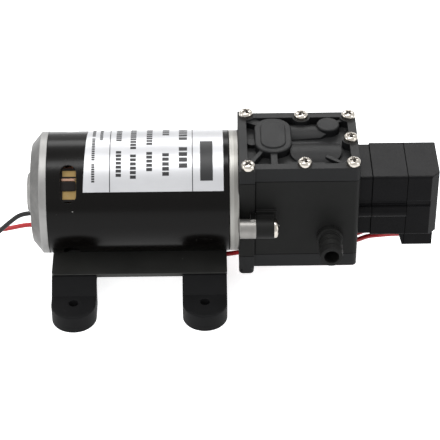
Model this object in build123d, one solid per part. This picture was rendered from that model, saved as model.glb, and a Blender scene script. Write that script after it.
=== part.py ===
from build123d import *
import math
import os

os.makedirs("parts", exist_ok=True)

# A 12 V diaphragm pump for water in a caravan or camper: a brushed motor on a steel plate with two
# rubber foot bars, a two-sided diaphragm head driven by an eccentric, and a pressure switch.
# Millimetres. X runs along the shaft, from the motor to the switch, and Z is up. The origin is on
# the floor, in the middle of the four foot holes. Motor and head are drawn about the shaft and then
# lifted to its height.

# Base: four holes in two rubber bars under a steel plate
can_d = 60.0
plate_h = 16.0
axis_h = plate_h + can_d / 2
plate_t = 2.0
plate_len = 86.8
plate_w = can_d - 4
hole_spacing_x = 64.4
hole_spacing_y = 84.4
foot_hole_d = 5.0
foot_w = 22.0
foot_pad_h = 9.5
foot_web_t = 3.0
foot_bend_y = 36.8
foot_lip = 1.6
foot_lip_w = 1.2
foot_arch_y = 28.5
foot_leg_draft = 3.0
foot_edge_r = 0.8
plate_screw_d = 4.0
plate_screw_head_d = 7.0
plate_screw_head_h = 2.6
plate_screw_reach = 3.0

# Motor can and its two ends
can_wall = 2.0
can_len = 88.1
can_back = -43.6
cap_rim_d = can_d + 0.2
cap_rim_t = 3.4
cap_chamfer_l = 4.7
cap_face_d = can_d - 11.2
cap_wall = 3.0
cap_boss_d = can_d / 3
cap_boss_h = 2.9
spigot_l = 4.0
spigot_wall = 2.4
seat_clear = 0.05
flange_t = 4.8
flange_d = can_d - 0.4
pilot_d = 28.0
pilot_l = 3.0
lug_d = 9.6
lug_len = 7.9
lug_key_l = 2.7
lug_key_h = 10.4
vent_x = 10.7
vent_w = 7.8
vent_len = 18.3
vent_angle = 44.4
lead_hole_x = 31.6
lead_hole_angle = 195.0

# Rotor, brushes and magnets
run_clear = 0.03
rear_journal_d = 6.0
bush_d = 12.0
bush_l = 7.0
shaft_d = 8.0
front_bearing_d = 22.0
front_bearing_w = 7.0
nose_d = 6.0
magnet_gap = 1.0
magnet_t = 6.5
core_d = can_d - 2 * (can_wall + magnet_t + magnet_gap)
core_len = 48.0
core_start = 25.6
slot_count = 8
slot_r = core_d / 2 - 6
slot_d = 6.8
slot_mouth = 2.0
wire_gap = 0.2
overhang = 6.5
overhang_d = core_d - 4
magnet_over = 2.0
magnet_split = 27.0
comm_d = 0.4 * can_d
comm_len = 12.0
comm_start = 5.6
riser_d = comm_d + 3
riser_t = 1.2
comm_groove = 0.6
brush_plate_t = 2.0
brush_plate_bore = comm_d + 5
holder_l = 8.6
holder_w = 8.4
holder_top = can_d / 2 - 4.8
holder_foot = comm_d / 2 + 1.2
wing_w = 16.4
wing_t = 1.0
brush_w = 5.8
brush_clear = 0.1
brush_len = holder_top - comm_d / 2 - 3.7
spring_wire_d = 0.6

# Pump head
head_len = 58.2
head_w = 46.8
head_half_h = 22.3
band_len = 7.4
band_proud = 1.6
bolt_beside = 6.2
bolt_offset = head_w / 2 + band_proud + bolt_beside
head_edge_r = 2.5
cover_t = 7.6
rim_w = 4.2
recess_depth = 4.3
screw_inset_x = 3.45
screw_inset_y = 3.8
long_screw_inset = 4.2
long_screw_y = head_w / 2 + band_proud - 3.3
screw_mid_x = head_len / 2 + 2.3
screw_d = 3.0
screw_head_d = 6.9
screw_head_h = 2.8
screw_reach = 8.0
screw_hole_clear = 0.2
pad_d = 8.6
bottom_screw_proud = 1.0
post_w = 6.6
post_h = 3.8
post_edge_r = 2.2
post_skin = 1.5
port_x = head_len - 13.8
port_drop = head_half_h - 10.8
gallery_d = 4.8
cross_d = 4.4
gallery_y = head_w / 2 - 7.9
channel_depth = 2.2
channel_w = 5.0
valve_room_d = 9.0
ear_len = 8.8
ear_pad_l = 10.3
ear_pad_h = 11.2
ear_pad_t = 1.4
ear_web_h = 6.8
bolt_d = 4.0
bolt_head_d = 9.2
bolt_head_h = 2.4
bolt_reach = 7.5

# Domes, mounds and ribs on the covers, from the motor end of the head and its middle line
dome_x = 17.0
dome_y = 4.75
dome_w = 17.9
dome_len = head_w - 18.3
island_w = 12.2
island_len = dome_len - 5.9
island_rise = 0.7
round_dome_y = head_w / 2 - 9.9
round_dome_d = 11.3
channel_mound_y = head_w / 2 - 11.9
channel_mound_w = 13.0
channel_mound_h = 3.0
channel_mound_taper = 3.6
wide_mound_x = head_len - 20.7
wide_mound_y = -4.75
wide_mound_len = 0.43 * head_len
wide_mound_w = 0.33 * head_w
wide_mound_h = 2.4
rib_w = 2.0
broad_rib_w = 4.2
rib_drop = 1.0

# Hose tails
tail_len = 16.1
tail_bore_d = 7.4
tail_ridge_d = 11.5
tail_valley_d = 10.0
tail_mouth_d = 10.8
collar_d = 12.7
collar_l = 2.4
tail_spigot_d = 11.4
tail_spigot_l = 5.0
seal_wire_d = 1.2
seal_clear = 0.05

# Diaphragms, valves and the eccentric drive
throw = 1.5
diaphragm_wall = 5.6
diaphragm_d = head_w - 2 * diaphragm_wall
diaphragm_t = 1.2
clamp_ledge = 2.3
crank_bore_d = diaphragm_d - 2 * clamp_ledge
valve_plate_t = 6.0
yoke_side_room = 2.5
yoke_end_room = 1.8
yoke_ring_d = min(crank_bore_d - 2 * yoke_side_room,
                  2 * (head_half_h - valve_plate_t - throw - yoke_end_room))
yoke_neck_w = 12.0
dish_ledge = 2.8
dish_d = diaphragm_d - 2 * dish_ledge
dish_depth = 4.2
roll_d = 2.2
roll_r = crank_bore_d / 2 - 1.45
piston_d = crank_bore_d - 9
piston_t = 2.5
retainer_d = piston_d - 2
retainer_t = 1.2
retainer_screw_d = 4.0
retainer_screw_head_d = 8.0
outlet_valve = (head_len / 2 - 0.315 * dish_d, 0.13 * dish_d)
inlet_valve = (head_len / 2 + 0.3 * dish_d, -0.17 * dish_d)
valve_d = 7.6
valve_t = 1.0
valve_stem_d = 2.4
valve_port_d = 1.6
valve_port_r = 2.3
ecc_journal_d = 12.0
yoke_wall = 2.5
ecc_bearing_d = yoke_ring_d - 2 * yoke_wall
ecc_bearing_w = 5.0
ecc_shoulder_step = 2.3
ecc_shoulder_d = ecc_bearing_d - 2 * ecc_shoulder_step
ecc_shoulder_l = 4.0
yoke_w = 8.0
grub_d = 3.0

# Pressure switch
sw_half_w = 14.8
sw_top = 17.7
sw_bottom = 18.0
sw_step = 0.5
sw_flange_l = 6.9
sw_body_l = 17.1
sw_cap_l = 15.6
sw_edge_r = 1.2
sw_end_chamfer = 4.0
sw_far_chamfer = 1.2
tower_d = 6.4
tower_y = sw_half_w - 0.4
tower_drop = 2.8
sw_groove_z = 1.4
sw_groove_w = 3.4
sw_groove_depth = 0.8
sw_screw_d = 3.0
sw_screw_head_d = 5.2
sw_screw_head_h = 2.4
sw_screw_reach = 7.0
sw_port_d = 2.6
feed_d = 2.2
sw_diaphragm_d = 20.0
sw_diaphragm_t = 1.0
sw_chamber_d = 16.0
sw_chamber_l = 1.5
plunger_head_d = 15.0
plunger_head_t = 2.0
plunger_stem_d = 6.0
plunger_stem_l = 5.0
plunger_tongue_w = 4.0
plunger_tongue_z = 12.6
sw_bore_d = 16.4
spring_d = 10.4
spring_wire = 1.2
spring_turns = 5
spring_gap = 0.1
seat_d = 14.0
seat_t = 2.0
adjuster_d = 6.0
adjuster_socket = 3.0
adjuster_sunk = 0.8
micro_l = 6.5
micro_w = 12.8
micro_h = 7.6
micro_clear = 0.15
micro_gap = 2.2
button_d = 2.0
button_z = 11.2
button_h = 2.15
block_start = 14.1
block_end = 1.6
block_half_w = sw_half_w - 2
block_h = 7.5
block_slant = 2.2
blade_w = 6.3
blade_t = 0.8
blade_y = (-8.0, 2.0)
blade_up = 2.0
blade_down = 4.5
blade_inset = 1.4
wire_entry_drop = 22.6

# Leads
lead_d = 2.4
grommet_d = 5.2
grommet_flange_d = 7.0
grommet_flange_t = 1.2
cap_lead_y = 3.0
cap_lead_drop = cap_boss_d / 2 + 5.4
coil_mid = (-99.0, 11.5)
coil_outer_r = 17.0
coil_pitch = 2.9
coil_half_turns = 6
coil_end_r = 5.0
coil_low_z = 1.75
coil_high_z = 4.45
gap_step = 1.2
tip_d = 1.6
tip_len = 6.0
tie_w = 3.0
tie_t = 0.5

can_r = can_d / 2
can_bore_r = can_r - can_wall
can_front = can_back + can_len
cap_face = can_back - cap_rim_t - cap_chamfer_l
cap_end = cap_face - cap_boss_h
head_back = can_front + flange_t
head_mid = head_back + head_len / 2
head_front = head_back + head_len
core_back = can_back + core_start
brush_x = can_back + vent_x
plate_top = axis_h - can_r
plate_low = plate_top - plate_t
web_low = plate_low - foot_web_t
sw_body_x = head_front + sw_flange_l
sw_cap_x = sw_body_x + sw_body_l
sw_end = sw_cap_x + sw_cap_l
clamp_z = head_half_h - valve_plate_t
pump_port_x = head_back + port_x

nodes = {}


def keep(name, *shapes, lifted=True):
    """Files a piece under its name, on the shaft's height where it was drawn about the shaft."""
    place = Pos(0, 0, axis_h) if lifted else Pos(0, 0, 0)
    nodes[name] = [place * solid for shape in shapes for solid in shape.solids()]


def block(x0, x1, y0, y1, z0, z1):
    """Rectangular block between two corners."""
    return Pos((x0 + x1) / 2, (y0 + y1) / 2, (z0 + z1) / 2) * Box(x1 - x0, y1 - y0, z1 - z0)


def bar_x(d, x0, x1, y=0.0, z=0.0):
    """Round bar along the shaft."""
    return Pos((x0 + x1) / 2, y, z) * Rot(0, 90, 0) * Cylinder(d / 2, x1 - x0)


def bar_y(d, y0, y1, x, z=0.0):
    """Round bar across the shaft."""
    return Pos(x, (y0 + y1) / 2, z) * Rot(90, 0, 0) * Cylinder(d / 2, y1 - y0)


def bar_z(d, z0, z1, x, y=0.0):
    """Upright round bar."""
    return Pos(x, y, (z0 + z1) / 2) * Cylinder(d / 2, z1 - z0)


def turned_x(points, y=0.0, z=0.0):
    """Body turned about a line along X, from (x, radius) points."""
    return Pos(0, y, z) * revolve(make_face(Polyline(*points, close=True)), Axis.X)


def turned_z(points, x=0.0, y=0.0, z=0.0):
    """Body turned about an upright line, from (radius, height) points."""
    face = make_face(Polyline(*[(r, 0, h) for r, h in points], close=True))
    return Pos(x, y, z) * revolve(face, Axis.Z)


def flipped(shape):
    """The same shape below the shaft."""
    return mirror(shape, about=Plane.XY)


def other_side(shape):
    """The same shape on the other side of the shaft."""
    return mirror(shape, about=Plane.XZ)


# Base


def foot_bar(x):
    """Moulded rubber bar: pads with round ends, a web under the plate and a lip at the plate's edge."""
    pad_end = hole_spacing_y / 2 + foot_w / 2
    half_plate = plate_w / 2 + seat_clear
    lip_out = half_plate + foot_lip_w
    side = [
        (pad_end, 0),
        (pad_end, foot_pad_h),
        (foot_bend_y, foot_pad_h),
        (lip_out, plate_low + foot_lip),
        (half_plate, plate_low + foot_lip),
        (half_plate, plate_low),
    ]
    under = [(foot_arch_y + foot_leg_draft, 0), (foot_arch_y, web_low)]
    left = [(-y, z) for y, z in reversed(side)]
    outline = side + left + [(-y, z) for y, z in under] + [(y, z) for y, z in reversed(under)]
    profile = Plane.YZ * make_face(Polyline(*outline, close=True))
    bar = extrude(profile, amount=foot_w / 2, both=True)
    plan = extrude(SlotOverall(2 * pad_end, foot_w, rotation=90), amount=axis_h)
    bar = bar & plan
    rims = [e for e in bar.edges().filter_by(GeomType.CIRCLE) if abs(e.radius - foot_w / 2) < 0.01]
    bar = fillet([e for e in rims if e.center().Z > foot_pad_h / 2], foot_edge_r)
    for y in (-hole_spacing_y / 2, hole_spacing_y / 2):
        bar -= bar_z(foot_hole_d, -1, foot_pad_h + 1, 0, y)
    bar -= bar_z(plate_screw_d, 0, axis_h, 0)
    return Pos(x, 0, 0) * bar


def mounting_plate():
    """Flat steel strip under the can, with two screw holes on its middle line."""
    outline = RectangleRounded(plate_len, plate_w, 2)
    plate = Pos(0, 0, plate_low) * extrude(outline, amount=plate_t)
    for x in screw_places:
        plate -= bar_z(plate_screw_d, 0, axis_h, x)
    return plate


def plate_screw(x):
    """Pan head screw from below, through web and plate into the can."""
    top = plate_top + plate_screw_reach
    low = web_low - plate_screw_head_h
    shank = bar_z(plate_screw_d, web_low, top, x)
    head = turned_z([(0, low), (plate_screw_head_d * 0.3, low), (plate_screw_head_d / 2, web_low - 1),
                     (plate_screw_head_d / 2, web_low), (0, web_low)], x)
    return shank + head


screw_places = (-hole_spacing_x / 2, hole_spacing_x / 2)
keep("rear_foot_bar", foot_bar(screw_places[0]), lifted=False)
keep("front_foot_bar", foot_bar(screw_places[1]), lifted=False)
keep("mounting_plate", mounting_plate(), lifted=False)
keep("plate_screws", *[plate_screw(x) for x in screw_places], lifted=False)


# Motor can, end cap and flange


def radial_plane(x, angle, r):
    """Plane square to a radius, with its own X along the can's round."""
    a = math.radians(angle)
    out = (0, -math.cos(a), math.sin(a))
    return Plane(origin=(x, r * out[1], r * out[2]), x_dir=(0, math.sin(a), math.cos(a)), z_dir=out)


def motor_tube():
    """Drawn steel can with four vents over the brushes, and holes for a lead and the plate screws."""
    tube = bar_x(can_d, can_back, can_front) - bar_x(2 * can_bore_r, can_back, can_front)
    for quarter in range(4):
        plane = radial_plane(brush_x, vent_angle + 90 * quarter, can_r)
        tube -= extrude(plane * SlotOverall(vent_len, vent_w), amount=3 * can_wall, both=True)
    lead_plane = radial_plane(can_back + lead_hole_x, lead_hole_angle, can_r)
    tube -= extrude(lead_plane * Circle(grommet_d / 2), amount=2 * can_wall, both=True)
    for x in screw_places:
        tube -= bar_z(plate_screw_d, -can_r - 1, -can_bore_r + 1, x)
    return tube


def motor_end_cap():
    """Cast cap: rim on the can's end, bevel, flat face and a boss round the rear bush."""
    spigot_r = can_bore_r - seat_clear
    inner_r = spigot_r - spigot_wall
    inner_face = cap_face + cap_wall
    pocket = cap_end + 1.5
    cap = turned_x([
        (can_back + spigot_l, inner_r),
        (can_back + spigot_l, spigot_r),
        (can_back, spigot_r),
        (can_back, cap_rim_d / 2),
        (can_back - cap_rim_t, cap_rim_d / 2),
        (cap_face, cap_face_d / 2),
        (cap_face, cap_boss_d / 2 + 0.6),
        (cap_end + 0.7, cap_boss_d / 2),
        (cap_end, cap_boss_d / 2 - 0.8),
        (cap_end, 0),
        (pocket, 0),
        (pocket, bush_d / 2),
        (pocket + bush_l, bush_d / 2),
        (pocket + bush_l, bush_d / 2 + 3),
        (inner_face, bush_d / 2 + 3),
        (inner_face, cap_face_d / 2 - 1.5),
        (can_back - 1, inner_r),
    ])
    return cap - bar_x(grommet_d, cap_face - 1, inner_face + 1, cap_lead_y, -cap_lead_drop)


def motor_flange():
    """Turned front flange with a spigot in the can, a pilot in the head and two bolt lugs."""
    spigot_r = can_bore_r - seat_clear
    inner_r = spigot_r - spigot_wall
    pocket = head_back + pilot_l - front_bearing_w
    flange = turned_x([
        (can_front - spigot_l, inner_r),
        (can_front - spigot_l, spigot_r),
        (can_front, spigot_r),
        (can_front, flange_d / 2 - 0.4),
        (can_front + 0.4, flange_d / 2),
        (head_back - 0.4, flange_d / 2),
        (head_back, flange_d / 2 - 0.4),
        (head_back, pilot_d / 2),
        (head_back + pilot_l, pilot_d / 2),
        (head_back + pilot_l, front_bearing_d / 2),
        (pocket, front_bearing_d / 2),
        (pocket, shaft_d / 2 + 3.5),
        (can_front, shaft_d / 2 + 3.5),
        (can_front, inner_r),
    ])
    lug_end = head_back + lug_len
    for side in (-1, 1):
        y = side * bolt_offset
        beside = side * (head_w / 2 + band_proud + 0.3)
        flange += bar_x(lug_d, head_back, lug_end, y)
        flange += block(lug_end - lug_key_l, lug_end, min(y, beside), max(y, beside),
                        -lug_key_h / 2, lug_key_h / 2)
        flange -= bar_x(bolt_d, lug_end - bolt_reach, lug_end, y)
    return flange


def grommet_in_cap():
    """Rubber grommet where the black lead leaves the cap's face."""
    outer = cap_face - grommet_flange_t
    ring = bar_x(grommet_d, cap_face, cap_face + cap_wall, cap_lead_y, -cap_lead_drop)
    ring += bar_x(grommet_flange_d, outer, cap_face, cap_lead_y, -cap_lead_drop)
    return ring - bar_x(lead_d, cap_face, cap_face + cap_wall, cap_lead_y, -cap_lead_drop)


def grommet_in_can():
    """Rubber grommet where the motor's feed enters the back of the can."""
    x = can_back + lead_hole_x
    seat = radial_plane(x, lead_hole_angle, can_r - can_wall + 0.2)
    flange = radial_plane(x, lead_hole_angle, can_r + 0.1)
    ring = extrude(seat * Circle(grommet_d / 2), amount=can_wall)
    ring += extrude(flange * Circle(grommet_flange_d / 2), amount=grommet_flange_t)
    return ring - bar_x(can_d, can_back, can_front) + extrude(seat * Circle(grommet_d / 2), amount=can_wall)


keep("motor_tube", motor_tube())
keep("motor_end_cap", motor_end_cap())
keep("motor_flange", motor_flange())
keep("lead_grommets", grommet_in_cap(), grommet_in_can())


# Bearings, rotor, magnets and brushes


def ring_x(outer_d, bore_d, x0, x1, y=0.0, z=0.0):
    """Plain ring along the shaft."""
    return bar_x(outer_d, x0, x1, y, z) - bar_x(bore_d, x0, x1, y, z)


def shaft():
    """Steel shaft: rear journal, main length and the thinner nose that carries the eccentric."""
    nose_x = head_back + pilot_l
    rear = cap_end + 2.5
    return turned_x([
        (rear, 0),
        (rear, rear_journal_d / 2),
        (can_back, rear_journal_d / 2),
        (can_back, shaft_d / 2),
        (nose_x, shaft_d / 2),
        (nose_x, nose_d / 2),
        (head_mid + ecc_bearing_w / 2, nose_d / 2),
        (head_mid + ecc_bearing_w / 2, 0),
    ])


def armature_core():
    """Stack of laminations with round slots that open through narrow mouths."""
    core = ring_x(core_d, shaft_d, core_back, core_back + core_len)
    for k in range(slot_count):
        slot = bar_x(slot_d, core_back, core_back + core_len, slot_r)
        slot += block(core_back, core_back + core_len, slot_r, core_d, -slot_mouth / 2, slot_mouth / 2)
        core -= Rot(360 / slot_count * k, 0, 0) * slot
    return core


def armature_windings():
    """Enamelled copper: a bar in each slot, joined by the overhang at both ends of the core."""
    front = core_back + core_len
    bars = [Rot(360 / slot_count * k, 0, 0) * bar_x(slot_d - 2 * wire_gap, core_back - 1, front + 1, slot_r)
            for k in range(slot_count)]
    inner_r = slot_r - slot_d / 2
    outer_r = overhang_d / 2
    coil = turned_x([(core_back, inner_r), (core_back, outer_r), (core_back - overhang + 2, outer_r),
                     (core_back - overhang, outer_r - 2), (core_back - overhang, inner_r)])
    coil += turned_x([(front, inner_r), (front, outer_r), (front + overhang - 2, outer_r),
                      (front + overhang, outer_r - 2), (front + overhang, inner_r)])
    for bar in bars:
        coil += bar
    return coil


def commutator():
    """Copper commutator with a riser at the core's side and a groove between its bars."""
    start = can_back + comm_start
    ring = ring_x(comm_d, shaft_d, start, start + comm_len)
    ring += ring_x(riser_d, shaft_d, start + comm_len, start + comm_len + riser_t)
    for k in range(slot_count):
        groove = block(start, start + comm_len, comm_d / 2 - 0.8, comm_d / 2 + 1, -comm_groove / 2,
                       comm_groove / 2)
        ring -= Rot(360 / slot_count * (k + 0.5), 0, 0) * groove
    return ring


def magnets():
    """Two arc magnets bonded to the can's bore."""
    x0 = core_back - magnet_over
    x1 = core_back + core_len + magnet_over
    ring = ring_x(2 * can_bore_r, core_d + 2 * magnet_gap, x0, x1)
    return ring - block(x0, x1, -magnet_split / 2, magnet_split / 2, -can_r, can_r)


def at_brush(shape, turn):
    """Turns a piece drawn above the shaft to the place of one brush."""
    return Rot(90 - vent_angle - turn, 0, 0) * shape


def brush_holder(turn):
    """Brass box on the brush plate, with wings that show through the vent."""
    x0 = can_back + spigot_l + brush_plate_t
    x1 = x0 + holder_l
    mid = (x0 + x1) / 2
    half = brush_w / 2 + brush_clear
    box = block(x0, x1, -holder_w / 2, holder_w / 2, holder_foot, holder_top)
    box += block(x0 + 0.4, x1 - 0.4, -wing_w / 2, wing_w / 2, holder_top - wing_t, holder_top)
    box -= block(mid - half, mid + half, -half, half, 0, holder_top - wing_t)
    box -= block(mid - half + 0.8, mid + half - 0.8, -half, half, 0, can_r)
    return at_brush(box, turn)


def carbon_brush(turn):
    """Carbon brush with its end worn to the commutator."""
    mid = can_back + spigot_l + brush_plate_t + holder_l / 2
    half = brush_w / 2
    foot = comm_d / 2 + brush_clear / 2
    brush = block(mid - half, mid + half, -half, half, foot - 0.5, foot + brush_len)
    return at_brush(brush - bar_x(2 * foot, mid - brush_w, mid + brush_w), turn)


def brush_spring(turn):
    """Short coil spring between the brush and the box's lid."""
    mid = can_back + spigot_l + brush_plate_t + holder_l / 2
    low = comm_d / 2 + brush_clear / 2 + brush_len + spring_wire_d / 2
    high = holder_top - wing_t - spring_wire_d / 2 - 0.02
    coil_r = brush_w / 2 - spring_wire_d / 2
    line = Pos(mid, 0, low) * Helix((high - low) / 2, high - low, coil_r)
    wire = sweep(Plane(line @ 0, z_dir=line % 0) * Circle(spring_wire_d / 2), path=line, is_frenet=True)
    return at_brush(wire, turn)


plate_x = can_back + spigot_l
bush_x = cap_end + 1.5
bearing_x = head_back + pilot_l - front_bearing_w
keep("rear_bush", ring_x(bush_d, rear_journal_d + 2 * run_clear, bush_x, bush_x + bush_l))
keep("front_bearing", ring_x(front_bearing_d, shaft_d + 2 * run_clear, bearing_x,
                             bearing_x + front_bearing_w))
keep("motor_shaft", shaft())
keep("armature_core", armature_core())
keep("armature_windings", armature_windings())
keep("commutator", commutator())
keep("magnets", magnets())
keep("brush_plate", ring_x(2 * can_bore_r - 0.2, brush_plate_bore, plate_x, plate_x + brush_plate_t))
keep("brush_holders", brush_holder(0), brush_holder(180))
keep("carbon_brushes", carbon_brush(0), carbon_brush(180))
keep("brush_springs", brush_spring(0), brush_spring(180))


# Pump head


short_spots = [(x, side * (head_w / 2 - screw_inset_y))
               for x in (screw_mid_x, head_len - screw_inset_x) for side in (-1, 1)]
short_spots.append((head_len - screw_inset_x, 0.5))
long_spots = [(long_screw_inset, -long_screw_y), (long_screw_inset, long_screw_y)]


def head_outline(z0, z1):
    """The head's outer shape between two heights, with the broader band at the motor end."""
    body = block(head_back, head_front, -head_w / 2, head_w / 2, z0, z1)
    far = body.edges().filter_by(Axis.Z).group_by(Axis.X)[-1]
    half_band = head_w / 2 + band_proud
    return fillet(far, head_edge_r) + block(head_back, head_back + band_len, -half_band, half_band, z0, z1)


def bolt_ear():
    """Ear on the front wall that takes a flange bolt: a flat pad, a web and a round boss."""
    x0 = head_back + lug_len
    wall = -head_w / 2 + 1
    ear = block(x0, x0 + ear_pad_l, -head_w / 2 - ear_pad_t, wall, -ear_pad_h / 2, ear_pad_h / 2)
    ear += block(x0, x0 + ear_len, -bolt_offset, wall, -ear_web_h / 2, ear_web_h / 2)
    ear += bar_x(lug_d, x0, x0 + ear_len, -bolt_offset)
    return ear - bar_x(bolt_d + screw_hole_clear, x0, x0 + ear_len, -bolt_offset)


def head_housing():
    """Moulded middle housing: crank bore, diaphragm seats, ports, galleries and tapped holes."""
    top = head_half_h
    body = head_outline(-top, top)
    ear = bolt_ear()
    body = body + ear + other_side(ear)
    body -= bar_z(crank_bore_d, -top, top, head_mid)
    body -= bar_z(diaphragm_d, clamp_z - diaphragm_t, top, head_mid)
    body -= bar_z(diaphragm_d, -top, -clamp_z + diaphragm_t, head_mid)
    body -= bar_x(pilot_d + 2 * seat_clear, head_back, head_back + pilot_l)
    body -= bar_x(front_bearing_d - 4, head_back, head_mid)
    for side in (-1, 1):
        wall = side * head_w / 2
        inner = side * gallery_y
        seat = side * (head_w / 2 - tail_spigot_l)
        socket_d = tail_spigot_d + 2 * seat_clear
        body -= bar_z(gallery_d, -top, top, pump_port_x, inner)
        body -= bar_y(cross_d, min(wall, inner), max(wall, inner), pump_port_x, -port_drop)
        body -= bar_y(socket_d, min(wall, seat), max(wall, seat), pump_port_x, -port_drop)
        body -= bar_x(sw_screw_d, head_front - sw_screw_reach, head_front, side * tower_y, -tower_drop)
    for x, y in short_spots:
        for z0, z1 in ((top - screw_reach, top), (-top, -top + screw_reach)):
            body -= bar_z(screw_d, z0, z1, head_back + x, y)
    for x, y in long_spots:
        body -= bar_z(screw_d + screw_hole_clear, -top, top, head_back + x, y)
    feed_x = head_front - 10.6
    body -= bar_y(feed_d, -feed_d, gallery_y, feed_x)
    return body - bar_x(sw_port_d, feed_x, head_front)


def segment_mound(x0, x1, y, width, height, floor):
    """Long mound with a round back, given by its width and height."""
    r = (width * width / 4 + height * height) / (2 * height)
    back = bar_x(2 * r, x0, x1, y, floor + height - r)
    return back & block(x0, x1, y - width, y + width, floor - 0.5, floor + height)


def rib(x0, y0, x1, y1, z0, z1, width=rib_w):
    """Straight upright rib between two points of the cover."""
    run = math.hypot(x1 - x0, y1 - y0)
    turn = math.degrees(math.atan2(y1 - y0, x1 - x0))
    return Pos((x0 + x1) / 2, (y0 + y1) / 2, (z0 + z1) / 2) * Rot(0, 0, turn) * Box(run, width, z1 - z0)


def water_way(valve, port_y):
    """Shallow way in a cover's joint face, from the room over a valve to the gallery."""
    x, y = valve
    way = bar_z(valve_room_d, 0, channel_depth, x, y)
    way += rib(x, y, port_x, port_y, 0, channel_depth, channel_w)
    return way + bar_z(channel_w, 0, channel_depth, port_x, port_y)


def cover():
    """Moulded cover, drawn from the joint face up and from the motor end of the head."""
    floor = cover_t - recess_depth
    base = Pos(-head_back, 0, 0) * head_outline(0, cover_t)
    pocket = RectangleRounded(head_len - 2 * rim_w, head_w - 2 * rim_w, 2)
    body = base - Pos(head_len / 2, 0, floor) * extrude(pocket, amount=recess_depth)
    extra = [bar_z(pad_d, 0, cover_t, x, y) & base for x, y in short_spots + long_spots]
    low = cover_t - rib_drop
    edge_x = head_len - screw_inset_x
    edge_y = head_w / 2 - screw_inset_y
    near_x = long_screw_inset
    in_x = dome_w / 2 - 4
    in_y = dome_len / 2 - 4
    dome_plan = RectangleRounded(dome_w, dome_len, dome_w / 2 - 0.5)
    dome = Pos(dome_x, dome_y, 0) * extrude(dome_plan, amount=cover_t)
    dome = fillet(dome.edges().group_by(Axis.Z)[-1], 0.8)
    island_plan = RectangleRounded(island_w, island_len, island_w / 2 - 0.5)
    island = Pos(dome_x, dome_y, 0) * extrude(island_plan, amount=cover_t + island_rise)
    island = fillet(island.edges().group_by(Axis.Z)[-1], 0.6)
    knob = bar_z(round_dome_d, 0, cover_t, port_x, round_dome_y)
    knob = fillet(knob.edges().group_by(Axis.Z)[-1], 0.8)
    wide = Pos(wide_mound_x, wide_mound_y, 0) * extrude(
        RectangleRounded(wide_mound_len, wide_mound_w, 6), amount=cover_t)
    wide = wide & segment_mound(wide_mound_x - wide_mound_len / 2, wide_mound_x + wide_mound_len / 2,
                                wide_mound_y, wide_mound_w, wide_mound_h, floor)
    y0 = channel_mound_y - channel_mound_w / 2
    y1 = channel_mound_y + channel_mound_w / 2
    plan = Polyline((dome_x, y0), (port_x - round_dome_d / 3, y0 + channel_mound_taper / 3),
                    (port_x, y0 + channel_mound_taper), (port_x, y1), (dome_x, y1), close=True)
    channel = segment_mound(dome_x, port_x, channel_mound_y, channel_mound_w, channel_mound_h, floor)
    extra += [
        dome,
        island,
        knob,
        wide,
        channel & extrude(make_face(plan), amount=cover_t),
        bar_z(5.0, 0, floor + 2.2, dome_x - dome_w / 2 - 1.4, dome_y - 3),
        rib(near_x, edge_y, dome_x - in_x, dome_y + in_y, 0, low, broad_rib_w),
        rib(edge_x, edge_y, port_x + 3, round_dome_y + 2.5, 0, low),
        rib(near_x, -edge_y, dome_x - in_x, dome_y - in_y, 0, low),
        rib(edge_x, -edge_y, port_x - 2, wide_mound_y - wide_mound_w / 3, 0, floor + wide_mound_h - 0.4),
        rib(dome_x, dome_y - in_y, dome_x, -head_w / 2 + rim_w - 0.5, 0, low, 3.2),
    ]
    for piece in extra:
        body += piece
    body -= water_way(outlet_valve, gallery_y)
    body -= water_way(inlet_valve, -gallery_y)
    for x, y in short_spots:
        body -= bar_z(screw_d + screw_hole_clear, 0, cover_t, x, y)
    return body


def top_cover():
    """Upper cover, with clear holes for the two long screws at the motor end."""
    body = cover()
    for x, y in long_spots:
        body -= bar_z(screw_d + screw_hole_clear, 0, cover_t, x, y)
    return body


def bottom_cover():
    """The same moulding below, with sunk screw heads and two rounded posts that the long screws end in."""
    body = cover()
    sunk = screw_head_h - bottom_screw_proud
    half_band = head_w / 2 + band_proud
    for x, y in long_spots:
        near = math.copysign(half_band - post_w, y)
        far = math.copysign(half_band, y)
        post = block(0, band_len, min(near, far), max(near, far), cover_t - 2, cover_t + post_h)
        upright = fillet(post.edges().filter_by(Axis.Z), post_edge_r)
        body += fillet(upright.edges().group_by(Axis.Z)[-1], post_edge_r / 2)
        body -= bar_z(screw_d, 0, cover_t + post_h - post_skin, x, y)
    for x, y in short_spots:
        body -= bar_z(screw_head_d + screw_hole_clear, cover_t - sunk, cover_t, x, y)
    return body


def pan_screw(x, y, z, reach):
    """Pan head screw, drawn with its head up, that reaches down from the underside of its head."""
    r = screw_head_d / 2
    h = screw_head_h
    head = turned_z([(0, 0), (r, 0), (r, 0.32 * h), (r * 0.88, 0.66 * h), (r * 0.58, 0.91 * h), (0, h)], x, y, z)
    return head + bar_z(screw_d, z - reach, z, x, y)


def flange_bolt():
    """Pan head bolt through the ear into the flange's lug."""
    seat = head_back + lug_len + ear_len
    r = bolt_head_d / 2
    head = turned_x([(seat, 0), (seat, r), (seat + 0.6, r), (seat + 1.6, r * 0.75), (seat + bolt_head_h, 0)],
                    -bolt_offset)
    return head + bar_x(bolt_d, seat - ear_len - bolt_reach + 1, seat, -bolt_offset)


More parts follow.
